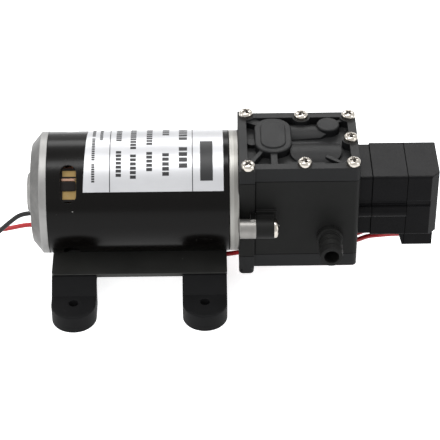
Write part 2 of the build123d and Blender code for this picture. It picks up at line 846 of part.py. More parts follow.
def hose_tail():
    """Ridged hose tail on the front wall, with a collar and a spigot that carries the seal."""
    r_v = tail_valley_d / 2
    r_r = tail_ridge_d / 2
    pitch = (tail_len - collar_l - 2) / 3
    points = [(-tail_spigot_l, tail_bore_d / 2), (-tail_spigot_l, tail_spigot_d / 2)]
    groove = tail_spigot_d / 2 - seal_wire_d - seal_clear
    half = seal_wire_d / 2 + 3 * seal_clear
    mid = -tail_spigot_l / 2
    points += [(mid - half, tail_spigot_d / 2), (mid - half, groove), (mid + half, groove)]
    points.append((mid + half, tail_spigot_d / 2))
    points += [(0, tail_spigot_d / 2), (0, collar_d / 2), (collar_l, collar_d / 2), (collar_l + 0.6, r_v)]
    points.append((collar_l + 2, r_v))
    for k in range(3):
        start = collar_l + 2 + pitch * k
        end_r = tail_mouth_d / 2 if k == 2 else r_v
        points += [(start, r_r), (start + 0.8, r_r), (start + pitch, end_r)]
    points.append((tail_len, tail_bore_d / 2))
    solid = turned_x(points)
    return Pos(pump_port_x, -head_w / 2, -port_drop) * Rot(0, 0, -90) * solid


def port_seal():
    """O-ring in the hose tail's groove."""
    ring_r = tail_spigot_d / 2 - seal_wire_d / 2 - seal_clear / 2
    y = (tail_spigot_l - head_w) / 2
    return Pos(pump_port_x, y, -port_drop) * Rot(90, 0, 0) * Torus(ring_r, seal_wire_d / 2)


seat_z = head_half_h + cover_t
keep("head_housing", head_housing())
keep("top_cover", Pos(head_back, 0, head_half_h) * top_cover())
keep("bottom_cover", flipped(Pos(head_back, 0, head_half_h) * bottom_cover()))
short_reach = cover_t + screw_reach - 2
long_reach = 2 * seat_z + post_h - post_skin - 0.5
keep("top_cover_screws",
     *[pan_screw(head_back + x, y, seat_z, short_reach) for x, y in short_spots],
     *[pan_screw(head_back + x, y, seat_z, long_reach) for x, y in long_spots])
low_seat = seat_z - screw_head_h + bottom_screw_proud
keep("bottom_cover_screws",
     *[flipped(pan_screw(head_back + x, y, low_seat, short_reach)) for x, y in short_spots])
keep("flange_bolts", flange_bolt(), other_side(flange_bolt()))
keep("inlet_hose_tail", hose_tail())
keep("outlet_hose_tail", other_side(hose_tail()))
keep("port_seals", port_seal(), other_side(port_seal()))


# Diaphragms, valves and the eccentric drive


def valve_plate():
    """Round plate above the diaphragm, with a dish for the stroke and small ports under each valve."""
    plate = bar_z(diaphragm_d - 2 * seat_clear, clamp_z, head_half_h, head_mid)
    plate -= bar_z(dish_d, clamp_z, clamp_z + dish_depth, head_mid)
    for x, y in (outlet_valve, inlet_valve):
        plate -= bar_z(valve_stem_d, clamp_z, head_half_h, head_back + x, y)
        for k in range(4):
            a = math.radians(45 + 90 * k)
            px = head_back + x + valve_port_r * math.cos(a)
            plate -= bar_z(valve_port_d, clamp_z, head_half_h, px, y + valve_port_r * math.sin(a))
    return plate


def umbrella_valve(x, y, face, way):
    """Rubber umbrella on one face of the valve plate, held by its stem and bulb on the other."""
    web = valve_plate_t - dish_depth
    cap = bar_z(valve_d, min(face, face + way * valve_t), max(face, face + way * valve_t), x, y)
    tail = face - way * (web + 0.9)
    cap += bar_z(valve_stem_d, min(face, tail), max(face, tail), x, y)
    bulb = (face - way * web, tail)
    return cap + bar_z(valve_stem_d + 0.9, min(bulb), max(bulb), x, y)


def valve_pair():
    """Outlet valve on the upper face of the plate and inlet valve on its lower face."""
    ceiling = clamp_z + dish_depth
    outlet = umbrella_valve(head_back + outlet_valve[0], outlet_valve[1], head_half_h, 1)
    inlet = umbrella_valve(head_back + inlet_valve[0], inlet_valve[1], ceiling, -1)
    return outlet, inlet


def diaphragm():
    """Rubber disc with a rolled ring between its clamped edge and the piston."""
    disc = bar_z(diaphragm_d, clamp_z - diaphragm_t, clamp_z, head_mid)
    disc += Pos(head_mid, 0, clamp_z - diaphragm_t) * Torus(roll_r, roll_d / 2)
    disc -= Pos(head_mid, 0, clamp_z) * Torus(roll_r, roll_d / 2)
    return disc - bar_z(retainer_screw_d, 0, head_half_h, head_mid, throw)


def yoke():
    """Ring round the eccentric bearing, with a piston plate above and below."""
    x0 = head_mid - yoke_w / 2
    x1 = head_mid + yoke_w / 2
    under = clamp_z - diaphragm_t
    body = bar_x(yoke_ring_d, x0, x1, throw)
    body += block(x0, x1, throw - yoke_neck_w / 2, throw + yoke_neck_w / 2, -under, under)
    for z0, z1 in ((under - piston_t, under), (-under, -under + piston_t)):
        body += bar_z(piston_d, z0, z1, head_mid, throw)
    body -= bar_x(ecc_bearing_d, x0, x1, throw)
    return body - bar_z(retainer_screw_d, -under, under, head_mid, throw)


def retainer():
    """Dished washer that clamps the diaphragm to the piston plate."""
    disc = bar_z(retainer_d, clamp_z, clamp_z + retainer_t, head_mid, throw)
    return disc - countersunk_screw()


def countersunk_screw():
    """Countersunk screw through retainer and diaphragm into the piston plate."""
    top = clamp_z + retainer_t
    r = retainer_screw_head_d / 2
    low = yoke_ring_d / 2 - 1.5
    return turned_z([(0, top), (r, top), (retainer_screw_d / 2, clamp_z), (retainer_screw_d / 2, low),
                     (0, low)], head_mid, throw)


def eccentric():
    """Steel eccentric: bearing journal off the shaft's centre by the throw, with a shoulder."""
    x1 = head_mid + ecc_bearing_w / 2
    x0 = head_mid - ecc_bearing_w / 2
    body = bar_x(ecc_journal_d, x0, x1, throw) + bar_x(ecc_shoulder_d, x0 - ecc_shoulder_l, x0, throw)
    body -= bar_x(nose_d, x0 - ecc_shoulder_l, x1)
    return body - bar_z(grub_d, 0, ecc_shoulder_d, x0 - ecc_shoulder_l / 2)


def grub_screw():
    """Grub screw that locks the eccentric to the shaft."""
    x = head_mid - ecc_bearing_w / 2 - ecc_shoulder_l / 2
    return bar_z(grub_d, nose_d / 2, ecc_shoulder_d / 2 - 0.8, x)


upper_valves = valve_pair()
keep("valve_plates", valve_plate(), flipped(valve_plate()))
keep("valves", *upper_valves, *[flipped(v) for v in upper_valves])
keep("diaphragms", diaphragm(), flipped(diaphragm()))
keep("yoke", yoke())
keep("diaphragm_retainers", retainer(), flipped(retainer()))
keep("retainer_screws", countersunk_screw(), flipped(countersunk_screw()))
keep("eccentric", eccentric())
keep("eccentric_screw", grub_screw())
keep("eccentric_bearing", ring_x(ecc_bearing_d, ecc_journal_d + 2 * run_clear, head_mid - ecc_bearing_w / 2,
                                 head_mid + ecc_bearing_w / 2, throw))


# Pressure switch


def switch_section(x0, x1, inset=0.0):
    """Length of the switch's casing, with rounded long edges."""
    box = block(x0, x1, -sw_half_w + inset, sw_half_w - inset, -sw_bottom + inset, sw_top - inset)
    return fillet(box.edges().filter_by(Axis.X), sw_edge_r)


def side_grooves(x0, x1):
    """Shallow groove along both sides, above the screw towers."""
    z0 = sw_groove_z - sw_groove_w / 2
    z1 = sw_groove_z + sw_groove_w / 2
    groove = block(x0, x1, -sw_half_w - 1, -sw_half_w + sw_groove_depth, z0, z1)
    return groove + other_side(groove)


def towers(x0, x1):
    """Round screw towers on both sides."""
    return bar_x(tower_d, x0, x1, -tower_y, -tower_drop) + bar_x(tower_d, x0, x1, tower_y, -tower_drop)


def screw_ways(d, x0, x1):
    """The two bores that the switch screws run in."""
    return bar_x(d, x0, x1, -tower_y, -tower_drop) + bar_x(d, x0, x1, tower_y, -tower_drop)


def switch_flange():
    """Plate that closes the head's far end and brings the water to the switch's diaphragm."""
    body = switch_section(head_front, sw_body_x, sw_step) - side_grooves(head_front, sw_body_x)
    body += towers(head_front, sw_body_x)
    body -= screw_ways(sw_screw_d + screw_hole_clear, head_front, sw_body_x)
    body -= bar_x(sw_port_d, head_front, sw_body_x)
    return body - bar_x(sw_chamber_d, sw_body_x - sw_chamber_l, sw_body_x)


def micro_box(clear=0.0):
    """Room of the microswitch under the plunger's bore."""
    x0 = sw_body_x + sw_diaphragm_t + plunger_head_t + micro_gap
    low = -sw_bottom + 1.7
    return block(x0 - clear, x0 + micro_l + clear, -micro_w / 2 - clear, micro_w / 2 + clear, low - clear,
                 low + micro_h + clear)


def switch_body():
    """Middle casing: plunger bore, microswitch room and the way for the plunger's tongue."""
    body = switch_section(sw_body_x, sw_cap_x) - side_grooves(sw_body_x, sw_cap_x)
    body += towers(sw_body_x, sw_cap_x)
    head_seat = sw_cap_x - sw_screw_head_h
    body -= screw_ways(sw_screw_d + screw_hole_clear, sw_body_x, sw_cap_x)
    body -= screw_ways(sw_screw_head_d + screw_hole_clear, head_seat, sw_cap_x)
    body -= bar_x(sw_diaphragm_d, sw_body_x, sw_body_x + sw_diaphragm_t)
    body -= bar_x(sw_bore_d, sw_body_x, sw_cap_x)
    room = plunger_tongue_w / 2 + 0.3
    start = sw_body_x + sw_diaphragm_t
    body -= block(start, start + plunger_head_t + micro_gap, -room, room, -plunger_tongue_z - 0.4, 0)
    return body - micro_box(micro_clear) - block(start + plunger_head_t, sw_cap_x, -2, 2, -sw_bottom + 4, 0)


def switch_cap():
    """End casing with bevelled corners, the spring's room and a threaded way for the adjuster."""
    w = sw_half_w
    c = sw_end_chamfer
    far_c = sw_far_chamfer
    plan = Polyline((sw_cap_x, -w), (sw_end - c, -w), (sw_end, c - w), (sw_end, w - far_c),
                    (sw_end - far_c, w), (sw_cap_x, w), close=True)
    body = switch_section(sw_cap_x, sw_end) & extrude(make_face(plan), amount=can_d, both=True)
    body -= side_grooves(sw_cap_x, sw_end - c)
    room = sw_cap_x + 7.5
    body -= bar_x(sw_bore_d, sw_cap_x, room)
    body -= bar_x(adjuster_d + 2 * run_clear, room, sw_end)
    for y in blade_y:
        body -= blade(y)
    return body


def blade(y):
    """Brass blade terminal, from the cap's floor down into the terminal block."""
    x0 = sw_cap_x + blade_inset
    return block(x0, x0 + blade_w, y - blade_t / 2, y + blade_t / 2, -sw_bottom - blade_down,
                 -sw_bottom + blade_up)


def terminal_block():
    """Block under the cap that holds the two terminals, with a slanted end where the leads enter."""
    x0 = sw_body_x + block_start
    x1 = sw_end - block_end
    low = -sw_bottom - block_h
    outline = Polyline((x0, -sw_bottom), (x1, -sw_bottom), (x1, low), (x0 + block_slant, low), close=True)
    body = extrude(Plane.XZ * make_face(outline), amount=block_half_w, both=True)
    for y in blade_y:
        body -= bar_x(lead_d, x0 - 1, entry_x, y, -wire_entry_drop)
        body -= blade(y)
    return body


def plunger():
    """Plunger on the diaphragm: head, spring stem and the tongue that works the microswitch."""
    x0 = sw_body_x + sw_diaphragm_t
    x1 = x0 + plunger_head_t
    body = bar_x(plunger_head_d, x0, x1) + bar_x(plunger_stem_d, x1, x1 + plunger_stem_l)
    w = plunger_tongue_w / 2
    return body + block(x0, x1, -w, w, -plunger_tongue_z, 0)


def switch_spring():
    """Coil spring between the plunger and the adjuster's seat."""
    x0 = sw_body_x + sw_diaphragm_t + plunger_head_t + spring_wire / 2 + spring_gap
    x1 = spring_end - spring_wire / 2 - spring_gap
    line = Helix((x1 - x0) / spring_turns, x1 - x0, spring_d / 2)
    section = Plane(line @ 0, z_dir=line % 0) * Circle(spring_wire / 2)
    return Pos(x0, 0, 0) * Rot(0, 90, 0) * sweep(section, path=line, is_frenet=True)


def adjuster():
    """Set screw with a hexagon socket, sunk in the end of the cap."""
    x0 = spring_end + seat_t
    x1 = sw_end - adjuster_sunk
    socket = extrude(Plane.YZ * RegularPolygon(adjuster_socket / 2, 6, major_radius=False), amount=3)
    return bar_x(adjuster_d, x0, x1) - Pos(x1 - 3, 0, 0) * socket


def switch_screw():
    """Cap screw in a tower, from the switch body into the pump head."""
    seat = sw_cap_x - sw_screw_head_h
    shank = bar_x(sw_screw_d, head_front - sw_screw_reach, seat, -tower_y, -tower_drop)
    return shank + bar_x(sw_screw_head_d, seat, sw_cap_x - 0.2, -tower_y, -tower_drop)


entry_x = sw_cap_x + blade_inset
spring_end = sw_cap_x + 2.5
button_x = sw_body_x + sw_diaphragm_t + plunger_head_t + 0.05
micro = micro_box() - bar_x(button_d + 0.1, button_x, button_x + button_h + 1.5, 0, -button_z)
keep("switch_flange", switch_flange())
keep("switch_body", switch_body())
keep("switch_cap", switch_cap())
keep("switch_diaphragm", bar_x(sw_diaphragm_d, sw_body_x, sw_body_x + sw_diaphragm_t))
keep("switch_plunger", plunger())
keep("switch_spring", switch_spring())
keep("spring_seat", bar_x(seat_d, spring_end, spring_end + seat_t))
keep("adjusting_screw", adjuster())
keep("microswitch", micro)
keep("microswitch_button", bar_x(button_d, button_x, button_x + button_h + 0.3, 0, -button_z))
keep("terminal_block", terminal_block())
keep("switch_terminals", *[blade(y) for y in blade_y])
keep("switch_screws", switch_screw(), other_side(switch_screw()))


# Leads. Routes are in the part's own frame, with Z from the floor.


def lead_tube(name, points, limp=3.0):
    """Round tube along straight runs joined by tangent arcs, with its tightest radius printed."""
    runs = [Vector(*b) - Vector(*a) for a, b in zip(points, points[1:])]
    radii = []
    for a, b in zip(runs, runs[1:]):
        turn = math.radians(a.get_angle(b))
        radii.append(0.45 * min(a.length, b.length) / math.tan(turn / 2))
    path = FilletPolyline(*points, radius=radii)
    section = Plane(path @ 0, z_dir=path % 0) * Circle(lead_d / 2)
    tube = sweep(section, path=path)
    fill = tube.volume / (math.pi * lead_d * lead_d / 4 * path.length)
    print(name, "length", round(path.length, 1), "radii", [round(r, 1) for r in radii],
          "least allowed", limp * lead_d, "volume share", round(fill, 4))
    return tube


def lead_coil(name, side, z):
    """Flat coil of half circles on the floor: straight in along -X, then spiralling inwards."""
    x, y = coil_mid
    start = Vector(x + lead_d, y + side * coil_outer_r, z)
    edges = [Line(start, Vector(x, start.Y, z))]
    here = Vector(x, start.Y, z)
    way = -side
    r = coil_outer_r
    for k in range(coil_half_turns):
        there = here + Vector(0, way * 2 * r, 0)
        bulge = -1 if k % 2 == 0 else 1
        edges.append(ThreePointArc(here, (here + there) / 2 + Vector(bulge * r, 0, 0), there))
        here = there
        way = -way
        r -= coil_pitch / 2
    out = -1 if coil_half_turns % 2 == 0 else 1
    turn_in = Vector(out * coil_end_r, way * coil_end_r, 0)
    knee = Vector(out * math.sin(math.pi / 4), way * (1 - math.cos(math.pi / 4)), 0) * coil_end_r
    edges.append(ThreePointArc(here, here + knee, here + turn_in))
    end = here + turn_in + Vector(0, way * lead_d, 0)
    edges.append(Line(here + turn_in, end))
    path = Wire(edges)
    section = Plane(start, z_dir=(-1, 0, 0)) * Circle(lead_d / 2)
    tube = sweep(section, path=path)
    steps = int(path.length / gap_step)
    spots = [path @ (k / steps) for k in range(steps + 1)]
    apart = int(math.pi * lead_d / gap_step)
    least = min((spots[i] - spots[j]).length for i in range(steps) for j in range(i + apart, steps + 1))
    print(name, "length", round(path.length, 1), "gap to itself", round(least - lead_d, 2))
    return tube, end, way


def tie():
    """Flat tie round the two coils, at their far side."""
    x, y = coil_mid
    inner = coil_outer_r - (coil_half_turns / 2 - 1) * coil_pitch
    x0 = x - coil_outer_r - lead_d / 2 - 0.3
    x1 = x - inner + lead_d / 2 + 0.3
    z0 = coil_low_z - lead_d / 2 - 0.02
    z1 = coil_high_z + lead_d / 2 + 0.05
    outer = block(x0 - tie_t, x1 + tie_t, y - tie_w / 2, y + tie_w / 2, z0 - tie_t, z1 + tie_t)
    loop = fillet(outer.edges().filter_by(Axis.Y), tie_t + 0.3)
    return loop - block(x0, x1, y - tie_w, y + tie_w, z0, z1)


red_coil, red_end, red_way = lead_coil("red_lead_coil", 1, coil_low_z)
black_coil, black_end, black_way = lead_coil("black_lead_coil", -1, coil_high_z)
coil_in_x = coil_mid[0] + lead_d
red_in = (coil_in_x, coil_mid[1] + coil_outer_r, coil_low_z)
black_in = (coil_in_x, coil_mid[1] - coil_outer_r, coil_high_z)
grommet_face = cap_face - grommet_flange_t
black_route = [
    (grommet_face, cap_lead_y, axis_h - cap_lead_drop),
    (-59.2, cap_lead_y, axis_h - cap_lead_drop),
    (-65.8, 2.2, 25.4),
    (-72.9, 0.8, 19.0),
    (-80.0, -1.4, 12.6),
    (-86.0, -3.6, 7.2),
    (-91.4, black_in[1], black_in[2]),
    black_in,
]
feed_end = (-46.8, 19.4, 9.6)
red_route = [
    feed_end,
    (-51.9, 20.0, 9.75),
    (-59.4, 21.0, 9.0),
    (-66.4, 22.2, 6.4),
    (-73.6, 24.2, 3.3),
    (-81.0, 26.6, 1.9),
    (-89.0, red_in[1], red_in[2]),
    red_in,
]
entry_z = axis_h - wire_entry_drop
head_low = axis_h - head_half_h - cover_t
block_x = sw_body_x + block_start
feed_route = [
    (entry_x, blade_y[0], entry_z),
    (block_x - 2.5, blade_y[0], entry_z),
    (block_x - 8.1, -7.2, entry_z - 1.2),
    (sw_body_x, -4.2, entry_z - 4.2),
    (head_front + 1.7, -1.6, head_low - 1.8),
    (head_front - 6.5, -0.8, head_low - 3.0),
    (head_mid + 10, -3.2, head_low - 2.6),
    (head_mid - 6, -6.4, head_low - 2.2),
    (head_back + 9.6, -8.0, head_low - 2.4),
    (head_back + 1.8, -6.4, 11.6),
    (45.2, -5.2, 9.5),
    (36.6, -6.0, 9.3),
    (25.0, -4.8, 9.4),
    (10.0, -1.0, 10.4),
    (-5.0, 5.0, 10.6),
    (-18.0, 12.2, 9.6),
    (-30.0, 16.6, 9.3),
    (-40.0, 18.6, 9.4),
    feed_end,
]
out_y, out_z = -math.cos(math.radians(lead_hole_angle)), math.sin(math.radians(lead_hole_angle))
can_exit = can_r + 0.1 + grommet_flange_t
hole_x = can_back + lead_hole_x
motor_route = [
    (entry_x, blade_y[1], entry_z),
    (block_x - 2.5, blade_y[1], entry_z),
    (block_x - 8.1, 2.2, entry_z - 1.8),
    (sw_body_x + 0.2, 2.8, entry_z - 5.6),
    (head_front + 1.7, 3.6, head_low - 1.9),
    (head_front - 6.5, 4.6, head_low - 2.9),
    (head_mid + 10, 3.2, head_low - 2.6),
    (head_mid - 6, 1.0, head_low - 2.3),
    (head_back + 9.6, 0.2, head_low - 2.6),
    (head_back + 1.6, 1.0, 11.4),
    (45.4, 3.4, 9.4),
    (37.0, 6.0, 9.2),
    (25.0, 7.4, 9.4),
    (13.0, 10.2, 9.7),
    (3.0, 15.6, 9.3),
    (-3.6, 22.6, 8.9),
    (-8.0, can_r, 9.4),
    (-10.6, can_r + 7.0, 12.8),
    (-11.8, can_r + 10.6, 19.2),
    (hole_x, can_r + 11.4, axis_h - 20.0),
    (hole_x, can_r + 9.8, axis_h - 13.6),
    (hole_x, (can_exit + 5.4) * out_y, axis_h + (can_exit + 5.4) * out_z),
    (hole_x, can_exit * out_y, axis_h + can_exit * out_z),
]
keep("black_lead_run", lead_tube("black_lead_run", black_route), lifted=False)
keep("black_lead_coil", black_coil, lifted=False)
keep("red_lead_run", lead_tube("red_lead_run", red_route), lifted=False)
keep("red_lead_coil", red_coil, lifted=False)
keep("switch_feed_lead", lead_tube("switch_feed_lead", feed_route), lifted=False)
keep("motor_feed_lead", lead_tube("motor_feed_lead", motor_route), lifted=False)
tips = [bar_y(tip_d, min(end.Y, end.Y + way * tip_len), max(end.Y, end.Y + way * tip_len), end.X, end.Z)
        for end, way in ((red_end, red_way), (black_end, black_way))]
keep("lead_tips", *tips, lifted=False)
keep("coil_tie", tie(), lifted=False)

for name, solids in nodes.items():
    shape = solids[0] if len(solids) == 1 else Compound(solids)
    export_step(shape, os.path.join("parts", name + ".step"))
print(len(nodes), "nodes")
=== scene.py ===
import math

import bpy
import numpy as np
from mathutils import Matrix, Vector


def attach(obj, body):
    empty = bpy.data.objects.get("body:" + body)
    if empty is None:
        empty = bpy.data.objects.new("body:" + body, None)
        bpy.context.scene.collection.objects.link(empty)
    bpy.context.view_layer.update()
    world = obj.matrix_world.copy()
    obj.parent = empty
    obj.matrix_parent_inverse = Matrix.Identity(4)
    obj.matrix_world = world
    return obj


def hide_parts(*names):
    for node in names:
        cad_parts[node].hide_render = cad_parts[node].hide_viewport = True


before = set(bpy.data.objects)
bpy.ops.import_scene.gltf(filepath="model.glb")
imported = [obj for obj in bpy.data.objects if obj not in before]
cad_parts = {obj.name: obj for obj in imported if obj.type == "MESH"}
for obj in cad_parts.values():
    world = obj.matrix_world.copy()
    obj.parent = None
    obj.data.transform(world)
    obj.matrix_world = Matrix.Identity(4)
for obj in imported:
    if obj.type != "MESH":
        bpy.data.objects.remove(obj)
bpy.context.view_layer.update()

# View, floor and light: the pump stands on a white sweep under soft boxes. The camera looks down at it by
# 38 degrees, square to the motor's shaft and from 0.92 m, through a long lens.
scene = bpy.context.scene
look_down = math.radians(38.19)
look_round = math.radians(-0.652)
roll = math.radians(-0.268)
distance = 0.91907
picture_px = 440
focal_px = 1853.25
film_mm = 36
aim_at = Vector((0.0405, 0, 0.046))
shift_left = 0.000198
shift_down = 0.014848
back = Vector((math.sin(look_round) * math.cos(look_down), -math.cos(look_round) * math.cos(look_down),
               math.sin(look_down)))
level = Vector((0, 0, 1)).cross(back).normalized()
upward = back.cross(level)
right = math.cos(roll) * level + math.sin(roll) * upward
up = math.cos(roll) * upward - math.sin(roll) * level
centre = aim_at - shift_left * right - shift_down * up
camera = bpy.data.objects.new("camera", bpy.data.cameras.new("camera"))
camera.matrix_world = Matrix((right, up, back)).transposed().to_4x4()
camera.location = centre + back * distance
camera.data.sensor_width = film_mm
camera.data.lens = focal_px / picture_px * film_mm
camera.data.clip_end = 20
scene.collection.objects.link(camera)
scene.camera = camera
scene.view_settings.view_transform = "Standard"


def maths(tree, operation, a, b=0.0, c=0.0):
    """Math node on three numbers or sockets. Returns its output."""
    made = tree.nodes.new("ShaderNodeMath")
    made.operation = operation
    for place, term in enumerate((a, b, c)):
        if hasattr(term, "links"):
            tree.links.new(term, made.inputs[place])
        else:
            made.inputs[place].default_value = term
    return made.outputs[0]


def white_rays(tree):
    """1 for a ray that sees plain white: from the camera, in a mirror image or through something clear."""
    path = tree.nodes.new("ShaderNodeLightPath")
    direct = maths(tree, "MAXIMUM", path.outputs["Is Camera Ray"], path.outputs["Is Transmission Ray"])
    return maths(tree, "MAXIMUM", direct, path.outputs["Is Glossy Ray"])


world = bpy.data.worlds.new("studio")
world.use_nodes = True
scene.world = world
tree = world.node_tree
tree.nodes.clear()
ambient = tree.nodes.new("ShaderNodeBackground")
ambient.inputs["Color"].default_value = (0.9, 0.95, 1.0, 1)
ambient.inputs["Strength"].default_value = 0.42
plain = tree.nodes.new("ShaderNodeBackground")
plain.inputs["Color"].default_value = (1, 1, 1, 1)
choose = tree.nodes.new("ShaderNodeMixShader")
out = tree.nodes.new("ShaderNodeOutputWorld")
tree.links.new(white_rays(tree), choose.inputs[0])
tree.links.new(ambient.outputs[0], choose.inputs[1])
tree.links.new(plain.outputs[0], choose.inputs[2])
tree.links.new(choose.outputs[0], out.inputs[0])

pump_middle = Vector((0.03, 0, 0.05))


def lamp(name, place, size, power, mirrored=True):
    """Soft box: a rectangular area light at place that faces the pump. Unless mirrored, it shows in no gloss."""
    data = bpy.data.lights.new(name, "AREA")
    data.shape = "RECTANGLE"
    data.size, data.size_y = size
    data.energy = power
    box = bpy.data.objects.new(name, data)
    way = pump_middle - Vector(place)
    box.matrix_world = Matrix.Translation(place) @ way.to_track_quat("-Z", "Y").to_matrix().to_4x4()
    box.visible_glossy = mirrored
    scene.collection.objects.link(box)


lamp("box_overhead", (0.0, 0.05, 0.98), (0.9, 0.16), 5.5)
lamp("box_back", (0.06, 0.92, 0.78), (1.1, 0.30), 6.0)
lamp("box_front", (-0.25, -0.95, 0.62), (0.7, 0.5), 4.5, mirrored=False)
lamp("box_right", (0.95, -0.35, 0.50), (0.35, 0.6), 2.6)
lamp("box_left", (-0.85, -0.15, 0.40), (0.3, 0.5), 1.8)

sweep = bpy.data.meshes.new("floor")
half_floor = 3.0
sweep.from_pydata([(-half_floor, -half_floor, 0), (half_floor, -half_floor, 0), (half_floor, half_floor, 0),
                   (-half_floor, half_floor, 0)], [], [(0, 1, 2, 3)])
floor = bpy.data.objects.new("floor", sweep)
scene.collection.objects.link(floor)
white = bpy.data.materials.new("white_sweep")
white.use_nodes = True
tree = white.node_tree
tree.nodes.clear()
floor_glow = 0.78
surface = tree.nodes.new("ShaderNodeBsdfPrincipled")
surface.inputs["Base Color"].default_value = (0.86, 0.86, 0.86, 1)
surface.inputs["Roughness"].default_value = 0.9
surface.inputs["Emission Color"].default_value = (1, 1, 1, 1)
tree.links.new(maths(tree, "MULTIPLY", white_rays(tree), floor_glow), surface.inputs["Emission Strength"])
out = tree.nodes.new("ShaderNodeOutputMaterial")
tree.links.new(surface.outputs[0], out.inputs[0])
sweep.materials.append(white)

# Foot bars: two moulded rubber bars that carry the plate and are screwed down at their four pads. The rubber is
# matt and nearly black, with fine mould grain and lighter rims, part rubbed wear and part painted edge highlight.


def new_group(name, inputs, outputs):
    """Empty node group with float inputs {name: default} and outputs {name: socket type}."""
    group = bpy.data.node_groups.new(name, "ShaderNodeTree")
    for key, default in inputs.items():
        pin = group.interface.new_socket(key, in_out="INPUT", socket_type="NodeSocketFloat")
        pin.default_value = default
    for key, kind in outputs.items():
        group.interface.new_socket(key, in_out="OUTPUT", socket_type=kind)
    return group, group.nodes.new("NodeGroupInput"), group.nodes.new("NodeGroupOutput")


def node(tree, kind, links=(), **values):
    """New node with settings, socket values (by number) and links (input, source socket)."""
    made = tree.nodes.new(kind)
    for key, value in values.items():
        if key.startswith("in"):
            made.inputs[int(key[2:])].default_value = value
        else:
            setattr(made, key, value)
    for place, source in links:
        tree.links.new(source, made.inputs[place])
    return made


def band(tree, source, low, high):
    """Smooth step of a socket from 0 at low to 1 at high."""
    made = tree.nodes.new("ShaderNodeMapRange")
    made.interpolation_type = "SMOOTHSTEP"
    tree.links.new(source, made.inputs["Value"])
    made.inputs["From Min"].default_value = low
    made.inputs["From Max"].default_value = high
    return made.outputs["Result"]


def noise(tree, vector, scale, detail=3.0, rough=0.5):
    """Noise value of a vector socket. Scale is in waves per metre, as a number or a socket."""
    made = tree.nodes.new("ShaderNodeTexNoise")
    tree.links.new(vector, made.inputs["Vector"])
    if hasattr(scale, "links"):
        tree.links.new(scale, made.inputs["Scale"])
    else:
        made.inputs["Scale"].default_value = scale
    made.inputs["Detail"].default_value = detail
    made.inputs["Roughness"].default_value = rough
    return made.outputs["Fac"]


# grain: height of a fine moulded or cast texture, and a slow mottle, both about 0.5
grain, pins, pouts = new_group("grain", {"Fine": 2500.0, "Coarse": 120.0},
                               {"Height": "NodeSocketFloat", "Mottle": "NodeSocketFloat"})
spot = grain.nodes.new("ShaderNodeTexCoord").outputs["Object"]
fine = noise(grain, spot, pins.outputs["Fine"], 2.0, 0.6)
slow = noise(grain, spot, pins.outputs["Coarse"], 4.0, 0.55)
grain.links.new(maths(grain, "MULTIPLY_ADD", fine, 0.8, maths(grain, "MULTIPLY", slow, 0.2)), pouts.inputs["Height"])
grain.links.new(slow, pouts.inputs["Mottle"])

# edge: the normal with small rounded edges, and the mask of lighter edges, part rubbed wear and part painted
# highlight, from how far it leans away from the true normal
edge, pins, pouts = new_group("edge", {"Radius": 0.0006, "Amount": 1.0},
                              {"Mask": "NodeSocketFloat", "Normal": "NodeSocketVector"})
rounded = edge.nodes.new("ShaderNodeBevel")
rounded.samples = 6
edge.links.new(pins.outputs["Radius"], rounded.inputs["Radius"])
true_normal = edge.nodes.new("ShaderNodeNewGeometry").outputs["True Normal"]
lean = node(edge, "ShaderNodeVectorMath", [(0, rounded.outputs[0]), (1, true_normal)], operation="DOT_PRODUCT")
spot = edge.nodes.new("ShaderNodeTexCoord").outputs["Object"]
broken = band(edge, noise(edge, spot, 900.0, 3.0, 0.7), 0.35, 0.65)
rim = band(edge, maths(edge, "SUBTRACT", 1.0, lean.outputs["Value"]), 0.02, 0.25)
edge_wear_and_highlight = maths(edge, "MULTIPLY", maths(edge, "MULTIPLY", rim, maths(edge, "MULTIPLY_ADD", broken, 0.6, 0.4)),
             pins.outputs["Amount"])
edge.links.new(edge_wear_and_highlight, pouts.inputs["Mask"])
edge.links.new(rounded.outputs[0], pouts.inputs["Normal"])

# dust and top light: mask of fine dust specks and a thin film, thickest on faces that look up; the film is part
# dust and part painted light on upward faces
dust_and_top_light, pins, pouts = new_group("dust_and_top_light", {"Film": 0.3, "Specks": 0.3}, {"Mask": "NodeSocketFloat"})
spot = dust_and_top_light.nodes.new("ShaderNodeTexCoord").outputs["Object"]
facing = node(dust_and_top_light, "ShaderNodeSeparateXYZ", [(0, dust_and_top_light.nodes.new("ShaderNodeNewGeometry").outputs["Normal"])])
flat_top = band(dust_and_top_light, facing.outputs["Z"], 0.1, 0.95)
film = maths(dust_and_top_light, "MULTIPLY", maths(dust_and_top_light, "MULTIPLY", flat_top, noise(dust_and_top_light, spot, 70.0, 5.0, 0.6)),
             pins.outputs["Film"])
cells = node(dust_and_top_light, "ShaderNodeTexVoronoi", [(0, spot)], feature="F1", in2=420.0)
size_of = node(dust_and_top_light, "ShaderNodeSeparateColor", [(0, cells.outputs["Color"])])
reach = maths(dust_and_top_light, "MULTIPLY_ADD", maths(dust_and_top_light, "POWER", size_of.outputs[0], 9.0), 0.2, 0.012)
speck = maths(dust_and_top_light, "LESS_THAN", cells.outputs["Distance"], reach)
few = maths(dust_and_top_light, "GREATER_THAN", size_of.outputs[1], 0.86)
specks = maths(dust_and_top_light, "MULTIPLY", maths(dust_and_top_light, "MULTIPLY", speck, few), pins.outputs["Specks"])
dust_and_top_light.links.new(maths(dust_and_top_light, "MAXIMUM", film, specks), pouts.inputs["Mask"])

